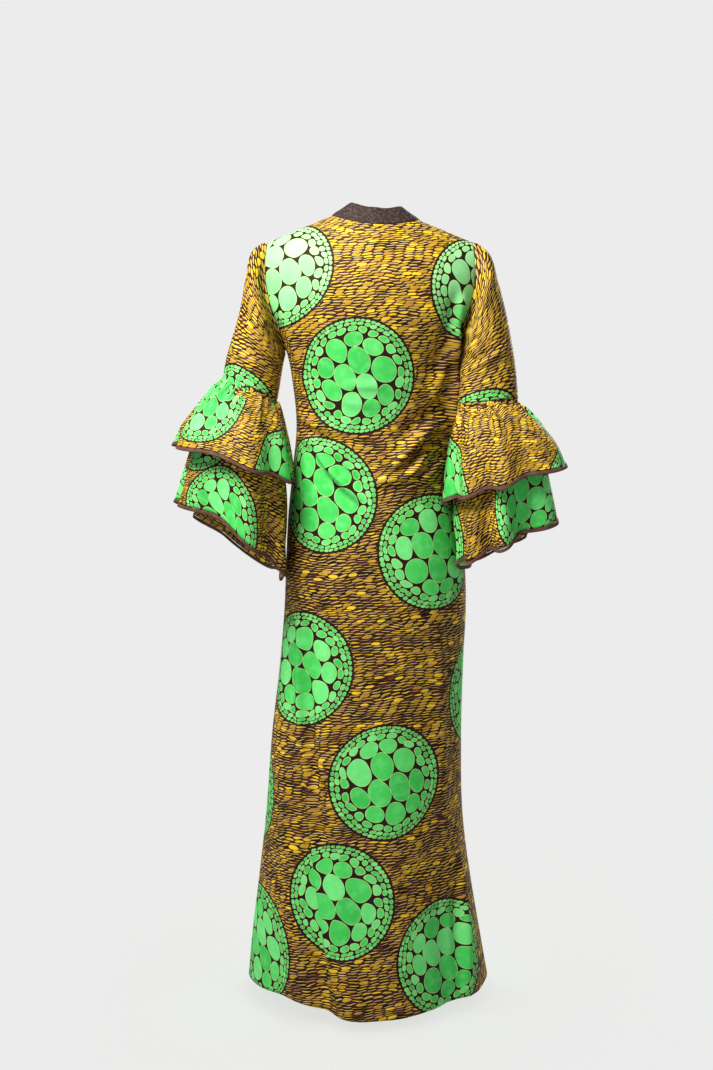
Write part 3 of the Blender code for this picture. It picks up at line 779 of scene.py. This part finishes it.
class Field:
    """A number that is worked out at each place on the cloth, as a socket of a node tree."""

    def __init__(self, tree, socket):
        self.tree = tree
        self.socket = socket

    def math(self, operation, *others):
        node = self.tree.nodes.new("ShaderNodeMath")
        node.operation = operation
        for slot, value in zip(node.inputs, (self, *others)):
            feed(self.tree, slot, value)
        return Field(self.tree, node.outputs[0])

    def __add__(self, other):
        return self.math("ADD", other)

    __radd__ = __add__

    def __sub__(self, other):
        return self.math("SUBTRACT", other)

    def __mul__(self, other):
        return self.math("MULTIPLY", other)

    __rmul__ = __mul__

    def __truediv__(self, other):
        return self.math("DIVIDE", other)

    def __gt__(self, other):
        return self.math("GREATER_THAN", other)

    def less_one(self):
        """One less this number."""
        return self.math("MULTIPLY", -1.0).math("ADD", 1.0)

    def edge(self, low, high):
        """Nought below the low value and one above the high one, with a smooth rise between them."""
        node = self.tree.nodes.new("ShaderNodeMapRange")
        node.interpolation_type = "SMOOTHSTEP"
        feed(self.tree, node.inputs[0], self)
        node.inputs[1].default_value = low
        node.inputs[2].default_value = high
        return Field(self.tree, node.outputs[0])


def feed(tree, slot, value):
    if isinstance(value, Field):
        tree.links.new(value.socket, slot)
    elif hasattr(value, "is_output"):
        tree.links.new(value, slot)
    else:
        slot.default_value = value


def vector_of(tree, *parts):
    node = tree.nodes.new("ShaderNodeCombineXYZ")
    for slot, part in zip(node.inputs, parts):
        feed(tree, slot, part)
    return node.outputs[0]


def parts_of(tree, vector):
    node = tree.nodes.new("ShaderNodeSeparateXYZ")
    tree.links.new(vector, node.inputs[0])
    return [Field(tree, socket) for socket in node.outputs]


def cut_map(tree, name):
    node = tree.nodes.new("ShaderNodeUVMap")
    node.uv_map = name
    return parts_of(tree, node.outputs[0])[:2]


def chance(tree, *parts):
    """Three even random numbers for each different set of whole numbers."""
    node = tree.nodes.new("ShaderNodeTexWhiteNoise")
    node.noise_dimensions = "3D"
    tree.links.new(vector_of(tree, *parts), node.inputs["Vector"])
    split = tree.nodes.new("ShaderNodeSeparateColor")
    tree.links.new(node.outputs["Color"], split.inputs[0])
    return [Field(tree, socket) for socket in split.outputs]


def drift(tree, scale, x, y, detail=2.0):
    """Slow random change over the cloth, from nought to one."""
    node = tree.nodes.new("ShaderNodeTexNoise")
    node.inputs["Scale"].default_value = scale
    node.inputs["Detail"].default_value = detail
    tree.links.new(vector_of(tree, x, y), node.inputs["Vector"])
    return Field(tree, node.outputs[0])


def blend(tree, share, first, second):
    node = tree.nodes.new("ShaderNodeMix")
    node.data_type = "RGBA"
    feed(tree, node.inputs[0], share)
    feed(tree, node.inputs[6], first)
    feed(tree, node.inputs[7], second)
    return node.outputs[2]


def chosen(radius, values):
    """One of these values, one a ring of cells, for the ring that this radius lies in."""
    total = (radius > CELL_RINGS[0].outer) * (values[1] - values[0]) + values[0]
    for ring, here, after in zip(CELL_RINGS[1:-1], values[1:-1], values[2:]):
        total = total + (radius > ring.outer) * (after - here)
    return total


def length_of(first, second, power=2.0):
    """Length of a pair of numbers. A power above 2 makes its round outline squarer."""
    first = first.math("ABSOLUTE").math("POWER", power)
    second = second.math("ABSOLUTE").math("POWER", power)
    return (first + second).math("POWER", 1 / power)


def middle_cells(tree, radius, angle, seed):
    """How deep inside one of the middle cells this place lies, in metres, and the chance of that cell."""
    third = 2 * math.pi / 3
    folded = ((angle + third / 2).math("FLOORED_MODULO", third) - third / 2).math("ABSOLUTE")
    inside, number = None, None
    for kind, cell in enumerate(MIDDLE_CELLS):
        turned = folded - math.radians(cell.turn)
        depth = (radius * turned.math("COSINE") - cell.distance) / cell.half_depth
        width = radius * turned.math("SINE") / cell.half_width
        here = length_of(depth, width).less_one() * min(cell.half_depth, cell.half_width)
        place = (angle - math.radians(cell.start)) / math.radians(cell.step)
        own = place.math("FLOOR").math("FLOORED_MODULO", 360 / cell.step) + KIND_SALT * kind
        number = number + (here > inside) * (own - number) if number else own
        inside = inside.math("MAXIMUM", here) if inside else here
    return inside, chance(tree, number, seed * PrintLook.seed_spread, MIDDLE_SALT)[0]


def ring_cells(tree, radius, angle, seed, look):
    """How deep inside a cell of the outer rings this place lies, half the cell's depth, and its chance."""
    count = chosen(radius, [float(ring.count) for ring in CELL_RINGS])
    middle = chosen(radius, [ring.middle for ring in CELL_RINGS])
    half_depth = chosen(radius, [ring.half_depth for ring in CELL_RINGS])
    place = angle * count / (2 * math.pi)
    cell = (place + 0.5).math("FLOOR")
    one, two, three = chance(tree, cell.math("FLOORED_MODULO", count), count, seed * look.seed_spread)
    turned = (place - cell - (one - 0.5) * look.cell_jitter) * 2.0
    size = two * look.cell_size_change + look.cell_size
    across = (radius - middle) / (half_depth * size)
    along = turned / size + across * (three - 0.5) * look.cell_lean
    return length_of(along, across, look.squareness).less_one() * half_depth, half_depth, two


def roundel_cells(tree, look):
    """The roundels: shares of cell and of cell fill, of the dark disc behind them, and a chance a cell."""
    x, y = cut_map(tree, "roundel")
    attribute = tree.nodes.new("ShaderNodeAttribute")
    attribute.attribute_name = "roundel_seed"
    seed = Field(tree, attribute.outputs["Fac"])
    rim = length_of(x, y)
    turn = seed * (2 * math.pi)
    calm = (rim * rim * (1 / ROUNDEL_RADIUS**2)).less_one().math("MAXIMUM", 0.0)
    apart = x + seed * look.seed_step
    sway = drift(tree, look.sway_scale, apart, y) - 0.5
    sway_down = drift(tree, look.sway_scale, apart, y + look.sway_apart) - 0.5
    x = x + y * calm * look.slant - turn.math("COSINE") * calm * look.off_centre + sway * calm * look.sway
    y = y * (calm * look.squeeze).less_one() + sway_down * calm * look.sway
    y = y - turn.math("SINE") * calm * look.off_centre
    radius = length_of(x, y)
    angle = y.math("ARCTAN2", x) + turn
    middle_inside, middle_chance = middle_cells(tree, radius, angle, seed)
    radius = radius + (angle * MIDDLE_LOBES).math("COSINE") * calm * look.lobe
    ring_inside, half_depth, cell_chance = ring_cells(tree, radius, angle, seed, look)
    outer = radius > MIDDLE_RADIUS
    inside = middle_inside + outer * (ring_inside - middle_inside)
    disc = rim.edge(ROUNDEL_RADIUS + look.ring, ROUNDEL_RADIUS + look.ring - look.line)
    cells = inside.edge(0.0, look.line) * rim.edge(ROUNDEL_RADIUS + look.line, ROUNDEL_RADIUS)
    outline = outer * (half_depth * look.outline_share - look.outline) + look.outline
    fill = (inside - outline).edge(0.0, look.line)
    return cells, fill, disc, middle_chance + outer * (cell_chance - middle_chance)


def dashes(tree, look):
    """The ground: shares of dash and of its pale edge, and chances a dash."""
    x, down = cut_map(tree, "cloth")
    flow = drift(tree, look.flow_scale, x * look.flow_across, down * look.flow_down) - 0.5
    ripple = drift(tree, look.ripple_scale, x * look.ripple_across, down) - 0.5
    y = down + flow * look.flow + ripple * look.ripple
    row = (y / look.row_pitch).math("FLOOR")
    shift = chance(tree, row, *ROW_SALT)[0] * look.row_shift
    place = (x + ripple * look.ripple) / look.dash_pitch + shift
    dash = place.math("FLOOR")
    one, two, three = chance(tree, dash, row, DASH_SALT)
    from_middle = (place - dash) * 2.0 - 1.0
    length = three * look.length_change + look.length
    taper = (from_middle / length).math("ABSOLUTE").math("POWER", look.taper).less_one()
    tilt = from_middle * (one * look.tilt_change + look.tilt)
    height = y / look.row_pitch - row - 0.5 + tilt
    # Dashes thicken towards the top of each piece, so the ground is yellower there: partly the print, partly
    # painted light for the more strongly lit top
    upper = down.edge(look.upper_end, look.upper_start)
    patch = drift(tree, look.patch_scale, x + look.patch_apart, down * look.patch_down)
    merged = (two > look.merged_above) * look.merged
    thick = merged + upper * look.upper_thick + (two - 0.5) * look.thick_change + look.thick
    thick = (thick + (patch - 0.5) * look.patch_thick) * taper
    share = ((thick - height.math("ABSOLUTE")) * look.row_pitch).edge(-look.line / 2, look.line / 2)
    pale_edge = (height + thick).edge(look.pale_depth, look.pale_edge) * (one > look.pale_above)
    return share, pale_edge, one, two


class PrintLook:
    """Measures of the print: lengths in metres, scales in turns a metre, and shares."""

    # Roundels: how their cells are moved, leant and squeezed, and their lines
    off_centre = 0.003
    sway_scale = 11.0
    sway = 0.029
    slant = -0.26
    squeeze = 0.18
    lobe = 0.0055
    cell_jitter = 0.20
    cell_size = 0.86
    cell_size_change = 0.14
    cell_lean = 0.35
    squareness = 2.3
    ring = 0.0036
    line = 0.0007
    outline = 0.0007
    outline_share = 0.14
    seed_step = 5.0
    seed_spread = 100.0
    sway_apart = 3.0

    # Colour of the cells
    # Painted highlight: how strongly the cells turn whitish near the top of the dress, where the key light
    # falls, and the heights between which this rises
    painted_highlight = 0.46
    painted_highlight_start = -0.05
    painted_highlight_end = -0.24
    cell_mottle = 0.35
    cell_tint = 0.60
    mottle_scale = 60.0
    mottle_from = 0.40
    mottle_to = 0.75

    # Ground: rows of dashes
    flow = 0.024
    ripple = 0.0052
    row_pitch = 0.0051
    row_shift = 6.0
    dash_pitch = 0.0184
    length = 0.88
    length_change = 0.24
    taper = 2.9
    tilt = 0.10
    tilt_change = 0.20
    # Dashes thicker near the top of each piece: partly the print, partly painted light where the top is lit
    # more strongly
    upper_end = 0.60
    upper_start = 0.10
    merged_above = 0.86
    merged = 0.30
    upper_thick = 0.092
    thick = 0.176
    thick_change = 0.14
    patch_thick = 0.72
    flow_scale = 12.0
    flow_across = 0.7
    flow_down = 1.4
    ripple_scale = 60.0
    ripple_across = 0.6
    patch_scale = 24.0
    patch_apart = 4.0
    patch_down = 1.2

    # Colour of the dashes
    pale_depth = 0.14
    pale_share = 0.62
    gold_from = 0.46
    gold_to = 0.98
    orange_above = 0.97
    pale_above = 0.35
    pale_edge = 0.02
    gold_chance = 0.8
    gold_drift = 0.9
    gold_scale = 40.0
    orange_share = 0.6
    maroon_scale = 50.0
    maroon_apart = 2.0
    maroon_from = 0.40
    maroon_to = 0.60

    # Finish
    roughness = 0.70
    specular = 0.16
    thread_scale = 900.0
    thread_down = 1.4
    thread_depth = 0.0004
    thread_strength = 0.12


def srgb(red, green, blue):
    """A colour given in 0 to 255, as the shader's linear values."""
    values = [value / 255 for value in (red, green, blue)]
    linear = [v / 12.92 if v <= 0.04045 else ((v + 0.055) / 1.055) ** 2.4 for v in values]
    return (*linear, 1.0)


def new_material(name, roughness, specular):
    material = bpy.data.materials.new(name)
    material.use_nodes = True
    shader = material.node_tree.nodes["Principled BSDF"]
    shader.inputs["Roughness"].default_value = roughness
    shader.inputs["Specular IOR Level"].default_value = specular
    return material, material.node_tree, shader


def weave_bump(tree, shader, height, distance, strength):
    bump = tree.nodes.new("ShaderNodeBump")
    bump.inputs["Strength"].default_value = strength
    bump.inputs["Distance"].default_value = distance
    feed(tree, bump.inputs["Height"], height)
    tree.links.new(bump.outputs[0], shader.inputs["Normal"])


def ground_colour(tree, look, colours):
    """Colour of the dashes and of the dark lines between them."""
    share, pale_edge, one, two = dashes(tree, look)
    x, y = cut_map(tree, "cloth")
    gold_share = one * look.gold_chance + drift(tree, look.gold_scale, x, y) * look.gold_drift
    dash = blend(tree, gold_share.edge(look.gold_from, look.gold_to), colours.yellow, colours.gold)
    dash = blend(tree, (two > look.orange_above) * look.orange_share, dash, colours.orange)
    dash = blend(tree, pale_edge * look.pale_share, dash, colours.cream)
    between = drift(tree, look.maroon_scale, x, y + look.maroon_apart)
    back = blend(tree, between.edge(look.maroon_from, look.maroon_to), colours.dark, colours.maroon)
    return blend(tree, share, back, dash)


def print_material(colours):
    """Wax print: roundels of pebble cells on rows of short dashes, worked out by rule on the cut cloth."""
    look = PrintLook
    material, tree, shader = new_material("wax_print", look.roughness, look.specular)
    cells, fill, disc, cell_chance = roundel_cells(tree, look)
    x, y = cut_map(tree, "cloth")
    height = parts_of(tree, tree.nodes.new("ShaderNodeTexCoord").outputs["Object"])[2]
    # Painted highlight: the higher the cloth hangs, the whiter its cells, standing in for the light that
    # falls strongest on the shoulders
    painted_highlight_green = height.edge(look.painted_highlight_end, look.painted_highlight_start) * look.painted_highlight
    mottle = drift(tree, look.mottle_scale, x, y).edge(look.mottle_from, look.mottle_to) * look.cell_mottle
    green = blend(tree, cell_chance.edge(0.0, 0.5), colours.deep_green, colours.green)
    pale_share = mottle + cell_chance.edge(0.5, 1.0) * look.cell_tint
    green = blend(tree, pale_share, green, colours.pale_green)
    green = blend(tree, painted_highlight_green, green, colours.painted_highlight_green)
    cell = blend(tree, fill, colours.outline, green)
    disc_colour = blend(tree, cells, colours.ring, cell)
    ground = ground_colour(tree, look, colours)
    tree.links.new(blend(tree, disc, ground, disc_colour), shader.inputs["Base Color"])
    thread = drift(tree, look.thread_scale, x, y * look.thread_down, detail=1.0)
    weave_bump(tree, shader, thread, look.thread_depth, look.thread_strength)
    return material


def brown_material(name, base, light, mottle):
    """Plain brown cotton with a fine weave and a little mottling."""
    material, tree, shader = new_material(name, BROWN_ROUGHNESS, BROWN_SPECULAR)
    x, y = cut_map(tree, "cloth")
    share = drift(tree, mottle, x, y, detail=4.0).edge(*BROWN_MOTTLE)
    tree.links.new(blend(tree, share, base, light), shader.inputs["Base Color"])
    thread = drift(tree, BROWN_THREAD_SCALE, x, y, detail=1.0)
    weave_bump(tree, shader, thread, BROWN_THREAD_DEPTH, BROWN_THREAD_STRENGTH)
    return material


def thickness_property(name, description, thickness):
    return bpy.props.FloatProperty(
        name=name, description=description, default=thickness, unit="LENGTH", precision=4
    )


def colour_property(name, description, colour):
    return bpy.props.FloatVectorProperty(
        name=name, description=description, default=colour, subtype="COLOR", size=4, min=0.0, max=1.0
    )


class DressClothSettings(bpy.types.PropertyGroup):
    """Thickness and fineness of the cloth."""

    cloth_thickness: thickness_property(
        "Cloth thickness", "Thickness of the printed cotton with its sewn layers", 0.0009
    )
    band_thickness: thickness_property("Neckband thickness", "Thickness of the folded neckband", 0.0015)
    finer: bpy.props.IntProperty(
        name="Columns",
        description="How many columns of the cloth go to each column of the solid",
        default=5,
        min=1,
    )


class DressColourSettings(bpy.types.PropertyGroup):
    """Colours of the print with the painted highlight on its cells, the bindings and the neckband."""

    yellow: colour_property("Yellow", "Brightest dashes of the ground", srgb(222, 181, 38))
    gold: colour_property("Gold", "Darker dashes of the ground", srgb(164, 127, 22))
    orange: colour_property("Orange", "A few warmer dashes", srgb(160, 104, 32))
    cream: colour_property("Cream", "Pale upper edge of the dashes", srgb(240, 216, 158))
    dark: colour_property("Dark", "Lines between the rows of dashes", srgb(20, 5, 1))
    maroon: colour_property("Maroon", "Ground between the ends of the dashes", srgb(60, 20, 15))
    deep_green: colour_property("Deep green", "Deeper cells of the roundels", srgb(50, 170, 68))
    green: colour_property("Green", "Cells of the roundels", srgb(62, 186, 78))
    pale_green: colour_property("Pale green", "Lighter parts of the cells", srgb(116, 214, 124))
    # Painted highlight: the whitish green that the cells take near the shoulders, where the light falls
    painted_highlight_green: colour_property("Painted highlight green", "Cells at the shoulders", srgb(172, 196, 160))
    outline: colour_property("Outline", "Line round each cell", srgb(158, 200, 118))
    ring: colour_property("Ring", "Disc behind the cells", srgb(28, 13, 4))
    binding: colour_property("Binding", "Bias binding at the ruffles' hems", srgb(78, 48, 40))
    binding_light: colour_property("Binding light", "Lighter parts of the binding", srgb(98, 66, 56))
    band: colour_property("Neckband", "Brown cotton of the neckband", srgb(30, 20, 17))
    band_light: colour_property("Neckband fleck", "Lighter flecks of the neckband", srgb(74, 56, 50))


class DRESS_OT_body(bpy.types.Operator):
    """Sew the back and the front of the dress"""

    bl_idname = "dress.body"
    bl_label = "Back and front"

    def execute(self, context):
        for side in ("back", "front"):
            name = "dress_" + side
            grid = panel_grid(side, context.scene.dress_cloth.finer)
            across, down = panel_cut(grid)
            facing = -1 if side == "front" else 1
            normals = facing * facing_out(grid)
            across = across * facing
            grid = grid + normals * creases_on(name, across, down)[..., None]
            if side == "front":
                grid, across, down = grid[:, ::-1], across[:, ::-1], down[:, ::-1]
            sew(name, grid, across, down, "print_cotton", "hung", "neckband", closed=False)
        return {"FINISHED"}


class DRESS_OT_sleeves(bpy.types.Operator):
    """Sew the two sleeves into the armholes"""

    bl_idname = "dress.sleeves"
    bl_label = "Sleeves"

    def execute(self, context):
        for arm in ARMS:
            name = "sleeve_" + arm.name
            sewn = dressed_tube(arm, name, sleeve_grid(arm))
            sew(name, *sewn, "print_cotton", "hung", "dress_back_cloth")
        return {"FINISHED"}


class DRESS_OT_ruffles(bpy.types.Operator):
    """Gather the two tiers of ruffle into each elbow seam, and bind their hems"""

    bl_idname = "dress.ruffles"
    bl_label = "Ruffles and bindings"

    def execute(self, context):
        for arm in ARMS:
            tiers = (
                ("upper", arm.upper, UPPER_ROOM, 0.0, 1.0),
                ("lower", arm.lower, LOWER_ROOM, LOWER_TOP_INSET, LOWER_GATHER_SHARE),
            )
            for tier, rings, room, shrink, gather in tiers:
                rows = ruffle_rows(arm, rings, room, shrink)
                name = f"ruffle_{tier}_{arm.name}"
                grid = inner_first(between_rows(rows, RUFFLE_ROWS))
                grid, across, down = dressed_tube(arm, name, grid, gather)
                sew(name, grid, across, down, "print_cotton", "gathered", f"sleeve_{arm.name}_cloth")
                self.bind(arm, tier, grid)
        return {"FINISHED"}

    def bind(self, arm, tier, ruffle):
        name = f"binding_{tier}_{arm.name}"
        before, hem = ruffle[-3], ruffle[-1]
        reaches = np.linspace(BINDING_GAP, BINDING_HEIGHT, BINDING_ROWS + 1)
        grid = np.array([run_on(before, hem, reach) for reach in reaches])
        across, down = tube_cut(grid, ARM_BACK_SHARE)
        ruffle_name = f"ruffle_{tier}_{arm.name}_cloth"
        sew(name, grid, across, down, "brown_binding", "gathered", ruffle_name, length=BINDING_CUT)


class DRESS_OT_neckband(bpy.types.Operator):
    """Stand the neckband on the neckline"""

    bl_idname = "dress.neckband"
    bl_label = "Neckband"

    def execute(self, context):
        grid = neckband_grid(context.scene.dress_cloth.finer)
        across, down = tube_cut(grid, BAND_BACK_SHARE)
        sew("neckband", grid, across, down, "brown_neckband", "hung", "dress_back_cloth")
        return {"FINISHED"}


class DRESS_OT_stage(bpy.types.Operator):
    """Set up the floor, the lights and the camera"""

    bl_idname = "dress.stage"
    bl_label = "Studio"

    def execute(self, context):
        make_floor()
        make_backdrop()
        make_lamps()
        make_camera()
        return {"FINISHED"}


class DRESS_PT_panel(bpy.types.Panel):
    """Steps of the dress, in sewing order"""

    bl_label = "Ankara dress"
    bl_space_type = "VIEW_3D"
    bl_region_type = "UI"
    bl_category = "Dress"

    def draw(self, context):
        for settings in (context.scene.dress_cloth, context.scene.dress_colours):
            for name in settings.bl_rna.properties.keys():
                if name not in ("rna_type", "name"):
                    self.layout.prop(settings, name)
        for operator in OPERATORS:
            self.layout.operator(operator.bl_idname)


OPERATORS = (DRESS_OT_body, DRESS_OT_sleeves, DRESS_OT_ruffles, DRESS_OT_neckband, DRESS_OT_stage)
CLASSES = (DressClothSettings, DressColourSettings, *OPERATORS, DRESS_PT_panel)


def named_material(name):
    """One of the dress's three materials, made the first time that it is wanted."""
    colours = bpy.context.scene.dress_colours
    if name in bpy.data.materials:
        return bpy.data.materials[name]
    if name == "wax_print":
        return print_material(colours)
    if name == "binding_cotton":
        return brown_material(name, colours.binding, colours.binding_light, BINDING_MOTTLE_SCALE)
    return brown_material(name, colours.band, colours.band_light, BAND_MOTTLE_SCALE)


def dressed_tube(arm, name, grid, gather=0.0):
    """A sleeve's or ruffle's grid with its creases, its cut, and its columns in the order that faces out."""
    across, down = tube_cut(grid, ARM_BACK_SHARE)
    across = across * arm.sign * (FULLNESS if gather else 1)
    normals = facing_out(grid) * arm.sign
    out = creases_on(name, across, down) + gather * gathers(arm, down)
    grid = grid + normals * out[..., None]
    if arm.sign < 0:
        grid, across, down = grid[:, ::-1], across[:, ::-1], down[:, ::-1]
    return grid, across, down


def unit_rows(vectors):
    return vectors / np.linalg.norm(vectors, axis=1, keepdims=True)


def smoothed(ways, own_share):
    """Directions round a loop, each blended with the ones beside it."""
    return unit_rows(np.roll(ways, 1, axis=0) + own_share * ways + np.roll(ways, -1, axis=0))


def neckband_grid(finer):
    """The band: it starts on the neckline and stands up and in, more steeply behind than at the front."""
    back, front = panel_grid("back", 1), panel_grid("front", 1)
    first, last = SHOULDER_COLUMNS, SHOULDER_COLUMNS + NECK_COLUMNS
    points, belows = (
        np.concatenate([back[row, first : last + 1], front[row, first + 1 : last][::-1]])
        for row in (0, BAND_FOOT_ROW)
    )
    rises = unit_rows(points - belows)
    points[[0, NECK_COLUMNS], 1] = 0.0
    middle = points.mean(axis=0)
    along = unit_rows(np.roll(points, -1, axis=0) - np.roll(points, 1, axis=0))
    inward = unit_rows((middle - points) * [1.0, BAND_BACK_TURN, 0.0])
    lean = BAND_LEAST_LEAN + (1 - BAND_LEAST_LEAN) * np.abs(inward[:, :1])
    at_front = np.clip(-points[:, 1:2] / (BAND_FRONT_SHARE * FRONT_NECK_DEPTH), 0, 1)
    standing = np.zeros_like(points)
    standing[:, 1] = -BAND_BACK_TURN * np.sign(points[:, 1])
    standing[:, 2] = BAND_BACK_RISE
    ways = BAND_LEAN * lean * inward + (1 - at_front) * standing + at_front * rises
    flats = unit_rows(rises - along * (rises * along).sum(axis=1, keepdims=True))
    ways = unit_rows(ways - along * (ways * along).sum(axis=1, keepdims=True))
    for _ in range(BAND_SMOOTHING):
        ways = smoothed(ways, BAND_WAY_SHARE)
        flats = smoothed(flats, BAND_FLAT_SHARE)
    lips = points + flats * SEAM_LIP
    standing_rows = [lips + ways * BAND_HEIGHT * share for share in BAND_PROFILE]
    rows = np.array([points + flats * SEAM_GAP, *standing_rows])
    rows = np.concatenate([rows, rows[:, :1]], axis=1)
    fine = between_rows(rows, BAND_ROWS)
    round_loop = between_rows(fine.transpose(1, 0, 2), (rows.shape[1] - 1) * finer)
    return round_loop.transpose(1, 0, 2)[::-1].copy()


def make_floor():
    """A pale floor that only shows a soft shadow, so that it ends nowhere against the backdrop."""
    bpy.ops.object.select_all(action="DESELECT")
    bpy.ops.mesh.primitive_circle_add(
        vertices=FLOOR_SIDES, radius=FLOOR_REACH, fill_type="NGON", location=(0.0, 0.0, FLOOR_HEIGHT)
    )
    floor = bpy.context.object
    floor.name = "studio_floor"
    bpy.ops.object.transform_apply(location=True)
    material, _, shader = new_material("studio_floor", FLOOR_ROUGHNESS, 0.0)
    own_light = BACKDROP_GREY - FLOOR_GREY * AMBIENT * BACKDROP_GREY
    shader.inputs["Base Color"].default_value = (FLOOR_GREY, FLOOR_GREY, FLOOR_GREY, 1.0)
    shader.inputs["Emission Color"].default_value = (own_light, own_light, own_light, 1.0)
    shader.inputs["Emission Strength"].default_value = 1.0
    floor.data.materials.append(material)


def make_backdrop():
    """An even backdrop that lights the dress less than it shows."""
    world = bpy.data.worlds.new("studio")
    world.use_nodes = True
    tree = world.node_tree
    backdrop = tree.nodes["Background"]
    backdrop.inputs["Color"].default_value = (BACKDROP_GREY, BACKDROP_GREY, BACKDROP_GREY, 1.0)
    seen = Field(tree, tree.nodes.new("ShaderNodeLightPath").outputs["Is Camera Ray"])
    feed(tree, backdrop.inputs["Strength"], seen * (1 - AMBIENT) + AMBIENT)
    bpy.context.scene.world = world


def make_lamps():
    """Soft lamps that light the dress but not the floor."""
    lit = bpy.data.collections.new("lit_pieces")
    for piece in bpy.context.scene.objects:
        if piece.name.endswith("_cloth"):
            lit.objects.link(piece)
    for lamp in LAMPS:
        data = bpy.data.lights.new(lamp.name, "AREA")
        data.size = lamp.size
        data.energy = lamp.power
        placed = bpy.data.objects.new(lamp.name, data)
        placed.location = lamp.place
        x, y, z = np.subtract(lamp.aim, lamp.place)
        placed.rotation_euler = (math.atan2(math.hypot(x, y), -z), 0.0, math.atan2(-x, y))
        placed.light_linking.receiver_collection = lit
        bpy.context.scene.collection.objects.link(placed)


def make_camera():
    data = bpy.data.cameras.new("camera")
    data.sensor_width = SENSOR_WIDTH
    data.lens = data.sensor_width * FOCAL_SHARE
    data.clip_end = CAMERA_SIGHT
    camera = bpy.data.objects.new("camera", data)
    camera.location = CAMERA_PLACE
    camera.rotation_euler = (math.radians(90 - CAMERA_PITCH), 0.0, math.pi)
    bpy.context.scene.collection.objects.link(camera)
    bpy.context.scene.camera = camera
    bpy.context.scene.view_settings.view_transform = "Standard"


def register():
    for item in CLASSES:
        bpy.utils.register_class(item)
    bpy.types.Scene.dress_cloth = bpy.props.PointerProperty(type=DressClothSettings)
    bpy.types.Scene.dress_colours = bpy.props.PointerProperty(type=DressColourSettings)


def unregister():
    del bpy.types.Scene.dress_colours
    del bpy.types.Scene.dress_cloth
    for item in reversed(CLASSES):
        bpy.utils.unregister_class(item)


def main():
    register()
    bpy.ops.dress.body()
    bpy.ops.dress.sleeves()
    bpy.ops.dress.ruffles()
    bpy.ops.dress.neckband()
    bpy.ops.dress.stage()


if __name__ == "__main__":
    main()
